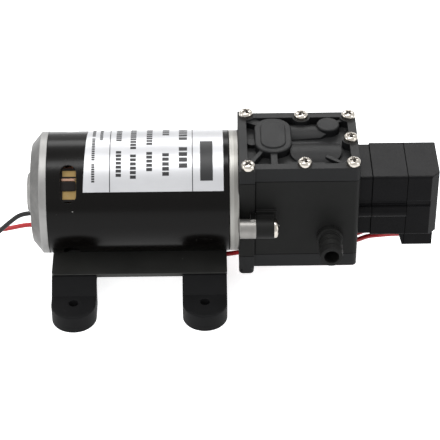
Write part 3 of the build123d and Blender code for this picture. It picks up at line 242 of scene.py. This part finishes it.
# seam: mask of the thin dark line where two pieces meet, at a place along one coordinate
seam, pins, pouts = new_group("seam", {"Along": 0.0, "Place": 0.0, "Width": 0.0003}, {"Mask": "NodeSocketFloat"})
gap = maths(seam, "ABSOLUTE", maths(seam, "SUBTRACT", pins.outputs["Along"], pins.outputs["Place"]))
share = maths(seam, "DIVIDE", gap, pins.outputs["Width"])
seam.links.new(maths(seam, "SUBTRACT", 1.0, band(seam, share, 0.4, 1.0)), pouts.inputs["Mask"])


def place_group(tree, group, **values):
    """Places a node group with its own values, named as its inputs."""
    made = tree.nodes.new("ShaderNodeGroup")
    made.node_tree = group
    for key, value in values.items():
        made.inputs[key].default_value = value
    return made


def mixed(tree, factor, a, b):
    """Colour a turned to colour b by a factor socket. Either may be a tuple or a socket."""
    made = node(tree, "ShaderNodeMix", data_type="RGBA")
    tree.links.new(factor, made.inputs[0])
    for place, colour in ((6, a), (7, b)):
        if hasattr(colour, "links"):
            tree.links.new(colour, made.inputs[place])
        else:
            made.inputs[place].default_value = (*colour, 1)
    return made.outputs[2]


def new_material(name):
    """Material with a Principled shader only. Returns the material, its tree and the shader."""
    made = bpy.data.materials.new(name)
    made.use_nodes = True
    tree = made.node_tree
    return made, tree, tree.nodes["Principled BSDF"]


def finish_of(name, colour, roughness, metal=0.0, fine=2500.0, coarse=120.0, height=0.00002, spread=0.12,
              tone=0.35, edge_wear_and_highlight=None, edge_wear_and_highlight_amount=0.5, film=0.05, specks=0.2, gloss=0.5, seams=(), paint=None):
    """Rigid finish: a colour with slow mottle, grain in the bump, lighter edges that are part rubbed wear and part
    painted highlight, and a little dust whose film on upward faces is part painted light. Each seam is
    (axis, place in metres), and paint(tree, base) may change the base colour."""
    made, tree, shader = new_material(name)
    texture = place_group(tree, grain, Fine=fine, Coarse=coarse)
    dark = tuple(c * (1 - tone) for c in colour)
    light = tuple(min(1.0, c * (1 + tone)) for c in colour)
    base = mixed(tree, texture.outputs["Mottle"], dark, light)
    rough = maths(tree, "MULTIPLY_ADD", maths(tree, "SUBTRACT", texture.outputs["Mottle"], 0.5), spread, roughness)
    if paint is not None:
        base = paint(tree, base)
    relief = node(tree, "ShaderNodeBump", [("Height", texture.outputs["Height"])])
    relief.inputs["Distance"].default_value = height
    if edge_wear_and_highlight is not None:
        wear_and_highlight_edges = place_group(tree, edge, Amount=edge_wear_and_highlight_amount)
        base = mixed(tree, wear_and_highlight_edges.outputs["Mask"], base, edge_wear_and_highlight)
        tree.links.new(wear_and_highlight_edges.outputs["Normal"], relief.inputs["Normal"])
    dust_and_top_light_mask = place_group(tree, dust_and_top_light, Film=film, Specks=specks)
    # the grey mixed in here is dust specks and a film that is part painted light on upward faces
    base = mixed(tree, dust_and_top_light_mask.outputs["Mask"], base, (0.30, 0.295, 0.28))
    rough = maths(tree, "MULTIPLY_ADD", dust_and_top_light_mask.outputs["Mask"], 0.3, rough)
    for axis, place in seams:
        line = place_group(tree, seam, Place=place)
        tree.links.new(along(tree, axis), line.inputs["Along"])
        base = mixed(tree, line.outputs["Mask"], base, (0.001, 0.001, 0.001))
        rough = maths(tree, "MAXIMUM", rough, line.outputs["Mask"])
    tree.links.new(base, shader.inputs["Base Color"])
    tree.links.new(rough, shader.inputs["Roughness"])
    tree.links.new(relief.outputs[0], shader.inputs["Normal"])
    shader.inputs["Metallic"].default_value = metal
    shader.inputs["Specular IOR Level"].default_value = gloss
    return made


def along(tree, axis):
    """One object coordinate, named X, Y or Z, in metres."""
    spot = tree.nodes.new("ShaderNodeTexCoord").outputs["Object"]
    return node(tree, "ShaderNodeSeparateXYZ", [(0, spot)]).outputs[axis]


def skin(name, parts, material, field=None):
    """Object of closed surfaces. Each part is an array of closed rings (ring, point, xyz) and gets a middle point
    at each end. Field holds a name and one array of numbers for each part."""
    points, faces, marks = [], [], []
    base = 0
    for number, rows in enumerate(parts):
        count, sides = rows.shape[:2]
        points.append(np.concatenate([rows.reshape(-1, 3), rows[0].mean(0)[None], rows[-1].mean(0)[None]]))
        ring, step = np.meshgrid(np.arange(count - 1), np.arange(sides), indexing="ij")
        after = (step + 1) % sides
        quads = np.stack([ring * sides + step, ring * sides + after, (ring + 1) * sides + after,
                          (ring + 1) * sides + step], -1).reshape(-1, 4)
        turn = np.arange(sides)
        first = np.stack([(turn + 1) % sides, turn, np.full(sides, count * sides)], -1)
        last = np.stack([turn + (count - 1) * sides, (turn + 1) % sides + (count - 1) * sides,
                         np.full(sides, count * sides + 1)], -1)
        faces += (quads + base).tolist() + (first + base).tolist() + (last + base).tolist()
        base += count * sides + 2
        if field is not None:
            values = field[1][number]
            marks.append(np.concatenate([values.reshape(-1), [values[0].mean(), values[-1].mean()]]))
    mesh = bpy.data.meshes.new(name)
    mesh.from_pydata(np.concatenate(points).tolist(), [], faces)
    mesh.shade_smooth()
    mesh.set_sharp_from_angle(angle=math.radians(40))
    if field is not None:
        layer = mesh.attributes.new(field[0], "FLOAT", "POINT")
        layer.data.foreach_set("value", np.concatenate(marks).astype(np.float32))
    mesh.materials.append(material)
    piece = bpy.data.objects.new(name, mesh)
    scene.collection.objects.link(piece)
    return piece


def dress(material, *names):
    """Gives CAD nodes one material."""
    for name in names:
        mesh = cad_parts[name].data
        mesh.materials.clear()
        mesh.materials.append(material)


rubber = finish_of("foot_rubber", (0.0075, 0.0075, 0.0078), 0.60, fine=3200.0, coarse=90.0, height=0.00003,
                   edge_wear_and_highlight=(0.035, 0.035, 0.037), edge_wear_and_highlight_amount=0.5, film=0.0, specks=0.25, gloss=0.07)
dress(rubber, "rear_foot_bar", "front_foot_bar")

# Mounting plate: steel strip, punched and painted satin black, which carries the can on the two bars. Two zinc
# plated screws hold bar, plate and can together from below.
plate_paint = finish_of("plate_paint", (0.030, 0.030, 0.028), 0.45, fine=1800.0, coarse=60.0, height=0.000012,
                        edge_wear_and_highlight=(0.06, 0.06, 0.06), edge_wear_and_highlight_amount=0.3, film=0.01, specks=0.7, gloss=0.3)
dress(plate_paint, "mounting_plate")
zinc = finish_of("zinc_steel", (0.50, 0.50, 0.48), 0.38, metal=1.0, fine=3000.0, height=0.000006, tone=0.2)
dress(zinc, "plate_screws", "switch_screws")

# Motor can: drawn steel tube in black gloss enamel, with a smooth, slightly wavy coat, and dark lines where the
# cap and the flange are pressed on.
cap_joint_x = -0.0436
flange_joint_x = 0.0445
enamel = finish_of("can_enamel", (0.0017, 0.0014, 0.0012), 0.21, fine=700.0, coarse=40.0, height=0.000006,
                   spread=0.06, tone=0.2, edge_wear_and_highlight=(0.03, 0.03, 0.03), edge_wear_and_highlight_amount=0.3, film=0.01, specks=0.5,
                   gloss=0.105, seams=[("X", cap_joint_x), ("X", flange_joint_x)])
dress(enamel, "motor_tube")

# Rating label: satin foil wrapped over the can, from low on the near side to low on the far side. It carries
# plain lines, bars and a block in place of its words.
axis_z = 0.046
can_r = 0.030
foil_t = 0.00006
foil_lift = 0.00013
print_lift = 0.00016
label_back_x, label_front_x = -0.0258, 0.0418
label_low, label_high = 36.4, 158.0


def wrap(x0, x1, low, high, lift, taper=0.0):
    """Thin sheet on the can. Its cross-section is a flat loop as thick as the foil from x0 to x1, swept about the
    shaft from angle low to high: y = -r cos a, z = axis + r sin a. Taper moves x0 in by so much at the high
    end."""
    outer = can_r + lift
    inner = outer - foil_t
    share = np.linspace(0, 1, 9)
    x = np.concatenate([x0 + (x1 - x0) * share, x1 + (x0 - x1) * share])
    r = np.concatenate([np.full(9, outer), np.full(9, inner)])
    steps = max(3, int((high - low) / 2))
    a = np.radians(np.linspace(low, high, steps)[:, None])
    x = x + taper * np.linspace(0, 1, steps)[:, None] * (x1 - x) / (x1 - x0)
    return np.stack([x, -r * np.cos(a), axis_z + r * np.sin(a)], -1)


foil, tree, shader = new_material("label_foil")
texture = place_group(tree, grain, Fine=1600.0, Coarse=55.0)
brushed = mixed(tree, texture.outputs["Mottle"], (0.43, 0.43, 0.443), (0.55, 0.55, 0.559))
dust_and_top_light_mask = place_group(tree, dust_and_top_light, Film=0.05, Specks=0.35)
tree.links.new(mixed(tree, dust_and_top_light_mask.outputs["Mask"], brushed, (0.4, 0.4, 0.4)), shader.inputs["Base Color"])
tree.links.new(maths(tree, "MULTIPLY_ADD", texture.outputs["Mottle"], 0.1, 0.30), shader.inputs["Roughness"])
relief = node(tree, "ShaderNodeBump", [("Height", texture.outputs["Height"])])
relief.inputs["Distance"].default_value = 0.000006
tree.links.new(relief.outputs[0], shader.inputs["Normal"])
shader.inputs["Metallic"].default_value = 0.4
ink = finish_of("label_ink", (0.012, 0.012, 0.013), 0.40, fine=1200.0, coarse=200.0, height=0.000004, tone=0.3,
                film=0.02, specks=0.1, gloss=0.3)
label_sheet = wrap(label_back_x, label_front_x, label_low, label_high, foil_lift, taper=0.0026)
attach(skin("rating_label", [label_sheet], foil), "pump")
line_t = 0.0004
label_lines = [wrap(x, x + line_t, 36.5, 157.9, print_lift) for x in (-0.0131, 0.0267)]
label_block = wrap(0.0306, 0.0367, 46.0, 89.5, print_lift)
# rows of plain bars in place of the print: back edge and height in mm along the can, and spans in degrees round it
bar_step = 0.80
bar_share = 0.74
bar_rows = [(20.4, 4.0, [(58.5, 86), (92, 132)]), (12.4, 3.2, [(51, 77), (101, 133)]),
            (4.7, 2.8, [(55.5, 79), (85, 129)]), (-3.1, 2.8, [(48.5, 76), (79.5, 130)]),
            (-10.0, 2.6, [(50.5, 79), (91, 128)]), (-18.0, 1.5, [(93, 134)]),
            (-21.7, 1.5, [(45.5, 65), (67, 98), (100, 137)])]
bars = []
for near, tall, spans in bar_rows:
    pitch = math.degrees(bar_step * tall / 1000 / can_r)
    for low, high in spans:
        count = int((high - low) / pitch)
        bars += [wrap(near / 1000, (near + tall) / 1000, low + k * pitch, low + (k + bar_share) * pitch, print_lift)
                 for k in range(count)]
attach(skin("label_print", label_lines + [label_block] + bars, ink), "pump")

# End cap: light alloy casting, pressed into the can's back end. Its rim is turned bright, and its bevel, face and
# hub are blasted and duller.
rim_back_x = (-0.0473, -0.0469)
bevel_back_x = (-0.0518, -0.0515)


def cap_tone(tree, base):
    """Bright turned rim next to the can, dull bevel behind it, and a lighter face and hub at the back."""
    rim = band(tree, along(tree, "X"), *rim_back_x)
    spot = tree.nodes.new("ShaderNodeTexCoord").outputs["Object"]
    patch = noise(tree, spot, 260.0, 4.0, 0.65)
    bevel = mixed(tree, patch, (0.070, 0.069, 0.067), (0.165, 0.162, 0.156))
    face = mixed(tree, patch, (0.150, 0.148, 0.143), (0.345, 0.338, 0.330))
    ahead = band(tree, along(tree, "X"), *bevel_back_x)
    return mixed(tree, rim, mixed(tree, ahead, face, bevel), base)


cast_alloy = finish_of("cast_alloy", (0.26, 0.256, 0.250), 0.46, metal=0.85, fine=2600.0, coarse=200.0,
                       height=0.00003, tone=0.18, edge_wear_and_highlight=(0.4, 0.4, 0.4), edge_wear_and_highlight_amount=0.45, paint=cap_tone)
dress(cast_alloy, "motor_end_cap")

# Front flange: light alloy ring with two lugs, turned and left bare. Tool marks run round it, and its front half
# is a coarser cut.
strip_joint_x = (0.0466, 0.0472)
lug_back_x = (0.0492, 0.0494)
key_low_z = (0.05075, 0.05085)
key_end_x = (0.0543, 0.0544)
key_side_y = 0.0305
tool_marks = (5000, 90, 90)


def flange_tone(tree, base):
    """Lighter strip at the can, darker strip at the head, each with fine turned lines, and bare lugs. The end of
    the key above each lug is black."""
    x = along(tree, "X")
    spot = tree.nodes.new("ShaderNodeTexCoord").outputs["Object"]
    stretched = node(tree, "ShaderNodeVectorMath", [(0, spot)], operation="MULTIPLY")
    stretched.inputs[1].default_value = tool_marks
    lines = noise(tree, stretched.outputs[0], 1.0, 3.0, 0.6)
    pale = mixed(tree, lines, (0.195, 0.191, 0.178), (0.375, 0.366, 0.344))
    deep = mixed(tree, lines, (0.135, 0.130, 0.121), (0.300, 0.291, 0.275))
    front = band(tree, x, *strip_joint_x)
    lug = band(tree, x, *lug_back_x)
    bare = mixed(tree, lug, mixed(tree, front, pale, deep), base)
    above = band(tree, along(tree, "Z"), *key_low_z)
    side = maths(tree, "LESS_THAN", maths(tree, "ABSOLUTE", along(tree, "Y")), key_side_y)
    key = maths(tree, "MULTIPLY", maths(tree, "MULTIPLY", above, side), band(tree, x, *key_end_x))
    return mixed(tree, key, bare, (0.004, 0.004, 0.004))


turned_alloy = finish_of("turned_alloy", (0.215, 0.209, 0.198), 0.42, metal=0.85, fine=2600.0, coarse=260.0,
                         height=0.00002, tone=0.3, edge_wear_and_highlight=(0.35, 0.35, 0.34), edge_wear_and_highlight_amount=0.5, paint=flange_tone)
dress(turned_alloy, "motor_flange")

# Inside of the motor: brass brush boxes on a phenolic ring, carbon brushes, ferrite magnets and the wound rotor.
# Through each vent show the box's two brass wings, the dark brush cap between them, its copper strip and painted
# shade along the slot's edges.
brass = finish_of("brass_strip", (0.33, 0.227, 0.092), 0.42, metal=1.0, fine=2000.0, height=0.000006, tone=0.4)
dress(brass, "brush_holders", "switch_terminals", "spring_seat")
copper = finish_of("copper_wire", (0.45, 0.17, 0.09), 0.36, metal=0.9, fine=1500.0, height=0.00004, tone=0.4)
dress(copper, "armature_windings", "commutator")
bronze = finish_of("sintered_bronze", (0.42, 0.30, 0.15), 0.5, metal=0.9)
dress(bronze, "rear_bush")
phenolic = finish_of("phenolic_sheet", (0.05, 0.022, 0.012), 0.5, gloss=0.3)
dress(phenolic, "brush_plate")
ferrite = finish_of("ferrite", (0.015, 0.015, 0.017), 0.6, gloss=0.3)
dress(ferrite, "magnets", "carbon_brushes")
steel = finish_of("ground_steel", (0.50, 0.50, 0.50), 0.28, metal=1.0, height=0.000004, tone=0.15)
dress(steel, "motor_shaft", "front_bearing", "eccentric", "eccentric_bearing", "brush_springs", "switch_spring",
      "diaphragm_retainers", "retainer_screws")
lamination = finish_of("lamination_steel", (0.16, 0.16, 0.17), 0.45, metal=0.9)
dress(lamination, "armature_core")
black_oxide = finish_of("black_oxide", (0.03, 0.03, 0.035), 0.4, metal=0.8)
dress(black_oxide, "eccentric_screw", "adjusting_screw")
cap_and_shade_black = finish_of("cap_and_shade_black", (0.006, 0.004, 0.0035), 0.55, gloss=0.15)
tinned_copper = finish_of("tinned_copper", (0.40, 0.24, 0.17), 0.42, metal=0.9, tone=0.3)
vent_mid_x = -0.0333
vent_angle = 44.4
wing_top = 0.0252


def soft_block(half, middle, turn):
    """Rounded block on a brush box: x = a C(u) C(v), s = b C(u) S(v), r = c S(u) with C = sign(cos) |cos|^0.2, and
    s runs round the can and r out from the shaft at the vent turned by so many degrees."""
    u = np.linspace(-math.pi / 2 + 0.02, math.pi / 2 - 0.02, 14)[:, None]
    v = np.linspace(0, 2 * math.pi, 40, endpoint=False)[None]
    bent = [np.sign(f) * np.abs(f) ** 0.2 for f in (np.cos(u), np.sin(u), np.cos(v), np.sin(v))]
    x = middle[0] + half[0] * bent[0] * bent[2]
    s = middle[1] + half[1] * bent[0] * bent[3]
    r = middle[2] + half[2] * bent[1] * np.ones_like(v)
    a = math.radians(vent_angle + turn)
    return np.stack([x, -r * math.cos(a) + s * math.sin(a), axis_z + r * math.sin(a) + s * math.cos(a)], -1)


# The first block is the brush cap. The other four are thin black strips laid over the wings' edges, at the vent's
# back end, at both sides and beside the copper strip: painted shade of the slot's depth and of the gap.
cap_and_shade_blocks = [((0.0039, 0.0023, 0.0005), (vent_mid_x, -0.0006, wing_top + 0.0004)),
               ((0.0039, 0.0004, 0.0003), (vent_mid_x, 0.0037, wing_top + 0.0002)),
               ((0.0005, 0.0078, 0.0004), (vent_mid_x - 0.0031, 0.0, wing_top + 0.0003)),
               ((0.0039, 0.0006, 0.0004), (vent_mid_x, 0.0076, wing_top + 0.0003)),
               ((0.0039, 0.0006, 0.0004), (vent_mid_x, -0.0076, wing_top + 0.0003))]
turns = (0, 90, 180, 270)
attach(skin("brush_caps_and_slot_shade", [soft_block(*sizes, turn) for sizes in cap_and_shade_blocks for turn in turns], cap_and_shade_black), "pump")
strip = ((0.0034, 0.0006, 0.0006), (vent_mid_x + 0.0002, 0.0025, wing_top + 0.0005))
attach(skin("brush_strips", [soft_block(*strip, turn) for turn in turns], tinned_copper), "pump")

# Pump head: moulded black plastic housing with a cover above and below. The sculpted covers look greyer, because
# their fine texture catches the light from above, and their thicker film on upward faces is part painted light.
# The joints with the covers and beside the flange band are dark.
top_joint_z, low_joint_z = 0.0683, 0.0237
flange_band_x = 0.0572
head_seams = [("Z", top_joint_z), ("Z", low_joint_z)]
head_plastic = finish_of("head_plastic", (0.0080, 0.0080, 0.0076), 0.50, fine=2800.0, coarse=110.0, height=0.00003,
                         spread=0.15, edge_wear_and_highlight=(0.035, 0.035, 0.034), edge_wear_and_highlight_amount=0.4, film=0.02, specks=0.2,
                         gloss=0.095, seams=head_seams + [("X", flange_band_x)])
dress(head_plastic, "head_housing", "inlet_hose_tail", "outlet_hose_tail")
cover_plastic = finish_of("cover_plastic", (0.0070, 0.0072, 0.0076), 0.47, fine=2600.0, coarse=110.0, height=0.00004,
                          spread=0.18, edge_wear_and_highlight=(0.045, 0.045, 0.045), edge_wear_and_highlight_amount=0.5, film=0.05, specks=0.25,
                          gloss=0.14, seams=head_seams)
dress(cover_plastic, "top_cover", "bottom_cover")

# Screws of the head: nickel plated pan heads with a cross recess, with painted shade in the recess. Two long ones
# reach the posts below, and the two large ones hold the head to the flange's lugs.
nickel, tree, shader = new_material("bright_nickel")
texture = place_group(tree, grain, Fine=900.0, Coarse=420.0)
plated = mixed(tree, texture.outputs["Mottle"], (0.34, 0.312, 0.273), (0.62, 0.585, 0.535))
# painted shade: the recess field darkens the cross recess by its depth
depth = node(tree, "ShaderNodeAttribute", attribute_name="recess").outputs["Fac"]
painted_recess_shade = mixed(tree, depth, plated, (0.035, 0.030, 0.026))
# the rims of the heads go near white: part rubbed wear and part painted highlight
wear_and_highlight_edges = place_group(tree, edge, Amount=0.3)
tree.links.new(mixed(tree, wear_and_highlight_edges.outputs["Mask"], painted_recess_shade, (0.9, 0.88, 0.84)), shader.inputs["Base Color"])
polish = maths(tree, "MULTIPLY_ADD", texture.outputs["Mottle"], 0.2, 0.10)
tree.links.new(maths(tree, "MULTIPLY_ADD", depth, 0.4, polish), shader.inputs["Roughness"])
relief = node(tree, "ShaderNodeBump", [("Height", texture.outputs["Height"])])
relief.inputs["Distance"].default_value = 0.00003
tree.links.new(relief.outputs[0], shader.inputs["Normal"])
shader.inputs["Metallic"].default_value = 1.0


def pan_head(spot, axis, radius, height, reach, shank, turn):
    """Pan head screw. The head is z = h (0.34 + 0.66 (1 - q^3.2)^0.5) at share q of its radius, less a cross of two
    bars 0.62 h (1.05 - q) deep. Their walls slope from 0.15 to 0.22 of the radius beside the middle line, and
    their ends from 0.56 to 0.66 of it. The shank goes straight down to a blunt point."""
    q = np.concatenate([np.linspace(0.02, 0.7, 22), np.linspace(0.74, 1.0, 9)])[:, None]
    t = np.linspace(0, 2 * math.pi, 64, endpoint=False)[None]
    x, y = q * np.cos(t), q * np.sin(t)
    across = np.minimum(np.abs(x), np.abs(y))
    arm = np.clip((0.22 - across) / 0.07, 0, 1) * np.clip((0.66 - q) / 0.10, 0, 1)
    sunk = arm * (1.05 - q)
    top = height * (0.34 + 0.66 * np.sqrt(np.clip(1 - q ** 3.2, 0, 1))) * np.ones_like(t) - 0.62 * height * sunk
    ring = np.ones_like(t)
    lower = [(1.0, 0.0), (shank / radius, 0.0), (shank / radius, -reach + shank / 3), (shank / radius / 2, -reach)]
    x = np.concatenate([x] + [r * np.cos(t) for r, z in lower])
    y = np.concatenate([y] + [r * np.sin(t) for r, z in lower])
    z = np.concatenate([top] + [z * ring for r, z in lower])
    field = np.concatenate([np.clip(sunk * 1.5, 0, 1)] + [0 * ring for r, z in lower])
    aim = Vector(axis).to_track_quat("Z", "Y").to_matrix() @ Matrix.Rotation(math.radians(turn), 3, "Z")
    local = np.stack([x * radius, y * radius, z], -1)[::-1]
    return local @ np.array(aim).T + np.array(spot), field[::-1]


def screws(name, replaced, spots, axis, radius, height, shank):
    """The screws of one CAD node, each given as (place, reach, turn)."""
    made = [pan_head(spot, axis, radius, height, reach, shank, turn) for spot, reach, turn in spots]
    piece = skin(name, [rows for rows, sunk in made], nickel, field=("recess", [sunk for rows, sunk in made]))
    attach(piece, "pump")
    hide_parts(replaced)


head_r, head_h, shank_r = 0.00345, 0.0028, 0.0015
short_reach = 0.0136
long_reach = 0.0616
top_z, low_z = 0.0759, 0.0179
side_y = 0.0196
mid_x, front_x = 0.0807, 0.10405
middle_y = 0.0005
post_x, post_y = 0.0535, 0.0217
screws("cover_screws", "top_cover_screws",
       [((mid_x, -side_y, top_z), short_reach, 20), ((mid_x, side_y, top_z), short_reach, 65),
        ((front_x, -side_y, top_z), short_reach, 12), ((front_x, side_y, top_z), short_reach, 38),
        ((front_x, middle_y, top_z), short_reach, 5), ((post_x, -post_y, top_z), long_reach, 50),
        ((post_x, post_y, top_z), long_reach, 28)], (0, 0, 1), head_r, head_h, shank_r)
screws("low_screws", "bottom_cover_screws",
       [((mid_x, -side_y, low_z), short_reach, 10), ((mid_x, side_y, low_z), short_reach, 40),
        ((front_x, -side_y, low_z), short_reach, 25), ((front_x, side_y, low_z), short_reach, 70),
        ((front_x, -middle_y, low_z), short_reach, 55)], (0, 0, -1), head_r, head_h, shank_r)
bolt_x, bolt_y = 0.0660, 0.0312
bolt_reach = 0.0155
screws("lug_bolts", "flange_bolts",
       [((bolt_x, -bolt_y, axis_z), bolt_reach, 30), ((bolt_x, bolt_y, axis_z), bolt_reach, 75)],
       (1, 0, 0), 0.0046, 0.0024, 0.0020)

# Diaphragms, valves and drive: moulded rubber sheets and cups, and the white nylon yoke and valve plates, clamped
# between the housing and its covers. The closed head hides them.
seal_rubber = finish_of("seal_rubber", (0.010, 0.010, 0.011), 0.45, gloss=0.3)
dress(seal_rubber, "port_seals", "valves", "diaphragms", "switch_diaphragm", "lead_grommets")
nylon = finish_of("nylon", (0.62, 0.60, 0.54), 0.45)
dress(nylon, "valve_plates", "yoke", "switch_plunger")

# Pressure switch: three black mouldings on the end of the head and a terminal block under them, with open dark
# joints between the mouldings.
switch_joints_x = (0.1075, 0.1144, 0.1315)
switch_plastic = finish_of("switch_plastic", (0.0054, 0.0052, 0.0056), 0.27, fine=2400.0, coarse=80.0,
                           height=0.00002, edge_wear_and_highlight=(0.03, 0.03, 0.032), edge_wear_and_highlight_amount=0.6, film=0.01, specks=0.2,
                           gloss=0.045, seams=[("X", x) for x in switch_joints_x])
dress(switch_plastic, "switch_flange", "switch_body", "switch_cap", "terminal_block", "microswitch")
button_red = finish_of("button_red", (0.40, 0.03, 0.02), 0.35)
dress(button_red, "microswitch_button")

# Leads: stranded copper wire in PVC, black from the cap and red from under the plate. Each free end is coiled flat,
# tied and stripped at its tip, and two red feed leads run between motor and switch.
black_pvc = finish_of("black_pvc", (0.008, 0.008, 0.008), 0.33, height=0.00001, gloss=0.3)
red_pvc = finish_of("red_pvc", (0.42, 0.010, 0.014), 0.33, height=0.00001, tone=0.12)
dress(red_pvc, "switch_feed_lead", "motor_feed_lead")
tinned = finish_of("tinned_strand", (0.62, 0.60, 0.56), 0.35, metal=1.0)
dress(tinned, "lead_tips")
tie_nylon = finish_of("tie_nylon", (0.02, 0.02, 0.02), 0.4)
dress(tie_nylon, "coil_tie")

coil_mid = (-0.099, 0.0115)
coil_r = 0.017
coil_pitch = 0.0029
half_turns = 6
end_r = 0.005
lead_d = 0.0024


def coil_turns(side, z):
    """Flat spiral of half circles, each half a pitch smaller than the last, then a quarter turn inwards and a
    straight end. A half circle about (x, c) has 6 points at x + R sin t and c - R cos t, with R = r / cos 15 deg
    so that the spline through them runs at r."""
    x, y = coil_mid
    here = y + side * coil_r
    way = -side
    radius = coil_r
    points = []
    for k in range(half_turns):
        bulge = -1 if k % 2 == 0 else 1
        turn = (np.arange(6) + 0.5) / 6 * math.pi
        out_by = radius / np.cos(math.pi / 12)
        centre_y = here + way * radius
        points += [(x + bulge * out_by * math.sin(t), centre_y - way * out_by * math.cos(t), z) for t in turn]
        here += way * 2 * radius
        way = -way
        radius -= coil_pitch / 2
    points += [(x - 0.0035, here + way * 0.0006, z), (x - end_r, here + way * 0.0030, z),
               (x - end_r, here + way * (end_r + 0.0008), z), (x - end_r, here + way * (end_r + lead_d), z)]
    return points


def lead(name, points, material, replaced):
    """Round wire on a NURBS spline through the route's control points."""
    curve = bpy.data.curves.new(name, "CURVE")
    curve.dimensions = "3D"
    curve.bevel_depth = lead_d / 2
    curve.bevel_resolution = 5
    curve.resolution_u = 8
    curve.use_fill_caps = True
    spline = curve.splines.new("NURBS")
    spline.points.add(len(points) - 1)
    for spot, point in zip(spline.points, points):
        spot.co = (*point, 1)
    spline.order_u = 3
    spline.use_endpoint_u = True
    curve.materials.append(material)
    piece = bpy.data.objects.new(name, curve)
    scene.collection.objects.link(piece)
    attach(piece, "pump")
    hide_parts(*replaced)


black_route = [
    (-0.0529, 0.003, 0.0306),
    (-0.0592, 0.003, 0.0306),
    (-0.0658, 0.0022, 0.0254),
    (-0.0729, 0.0008, 0.0190),
    (-0.0800, -0.0014, 0.0126),
    (-0.0860, -0.0036, 0.0072),
    (-0.0914, -0.0055, 0.00445),
    (-0.0966, -0.0055, 0.00445),
    (-0.0990, -0.0055, 0.00445),
]
lead("black_lead", black_route + coil_turns(-1, 0.00445), black_pvc, ["black_lead_run", "black_lead_coil"])
red_route = [
    (-0.0468, 0.0194, 0.0096),
    (-0.0519, 0.0200, 0.00975),
    (-0.0594, 0.0210, 0.0090),
    (-0.0664, 0.0222, 0.0064),
    (-0.0736, 0.0242, 0.0033),
    (-0.0810, 0.0266, 0.0019),
    (-0.0890, 0.0285, 0.00175),
    (-0.0966, 0.0285, 0.00175),
    (-0.0990, 0.0285, 0.00175),
]
lead("red_lead", red_route + coil_turns(1, 0.00175), red_pvc, ["red_lead_run", "red_lead_coil"])
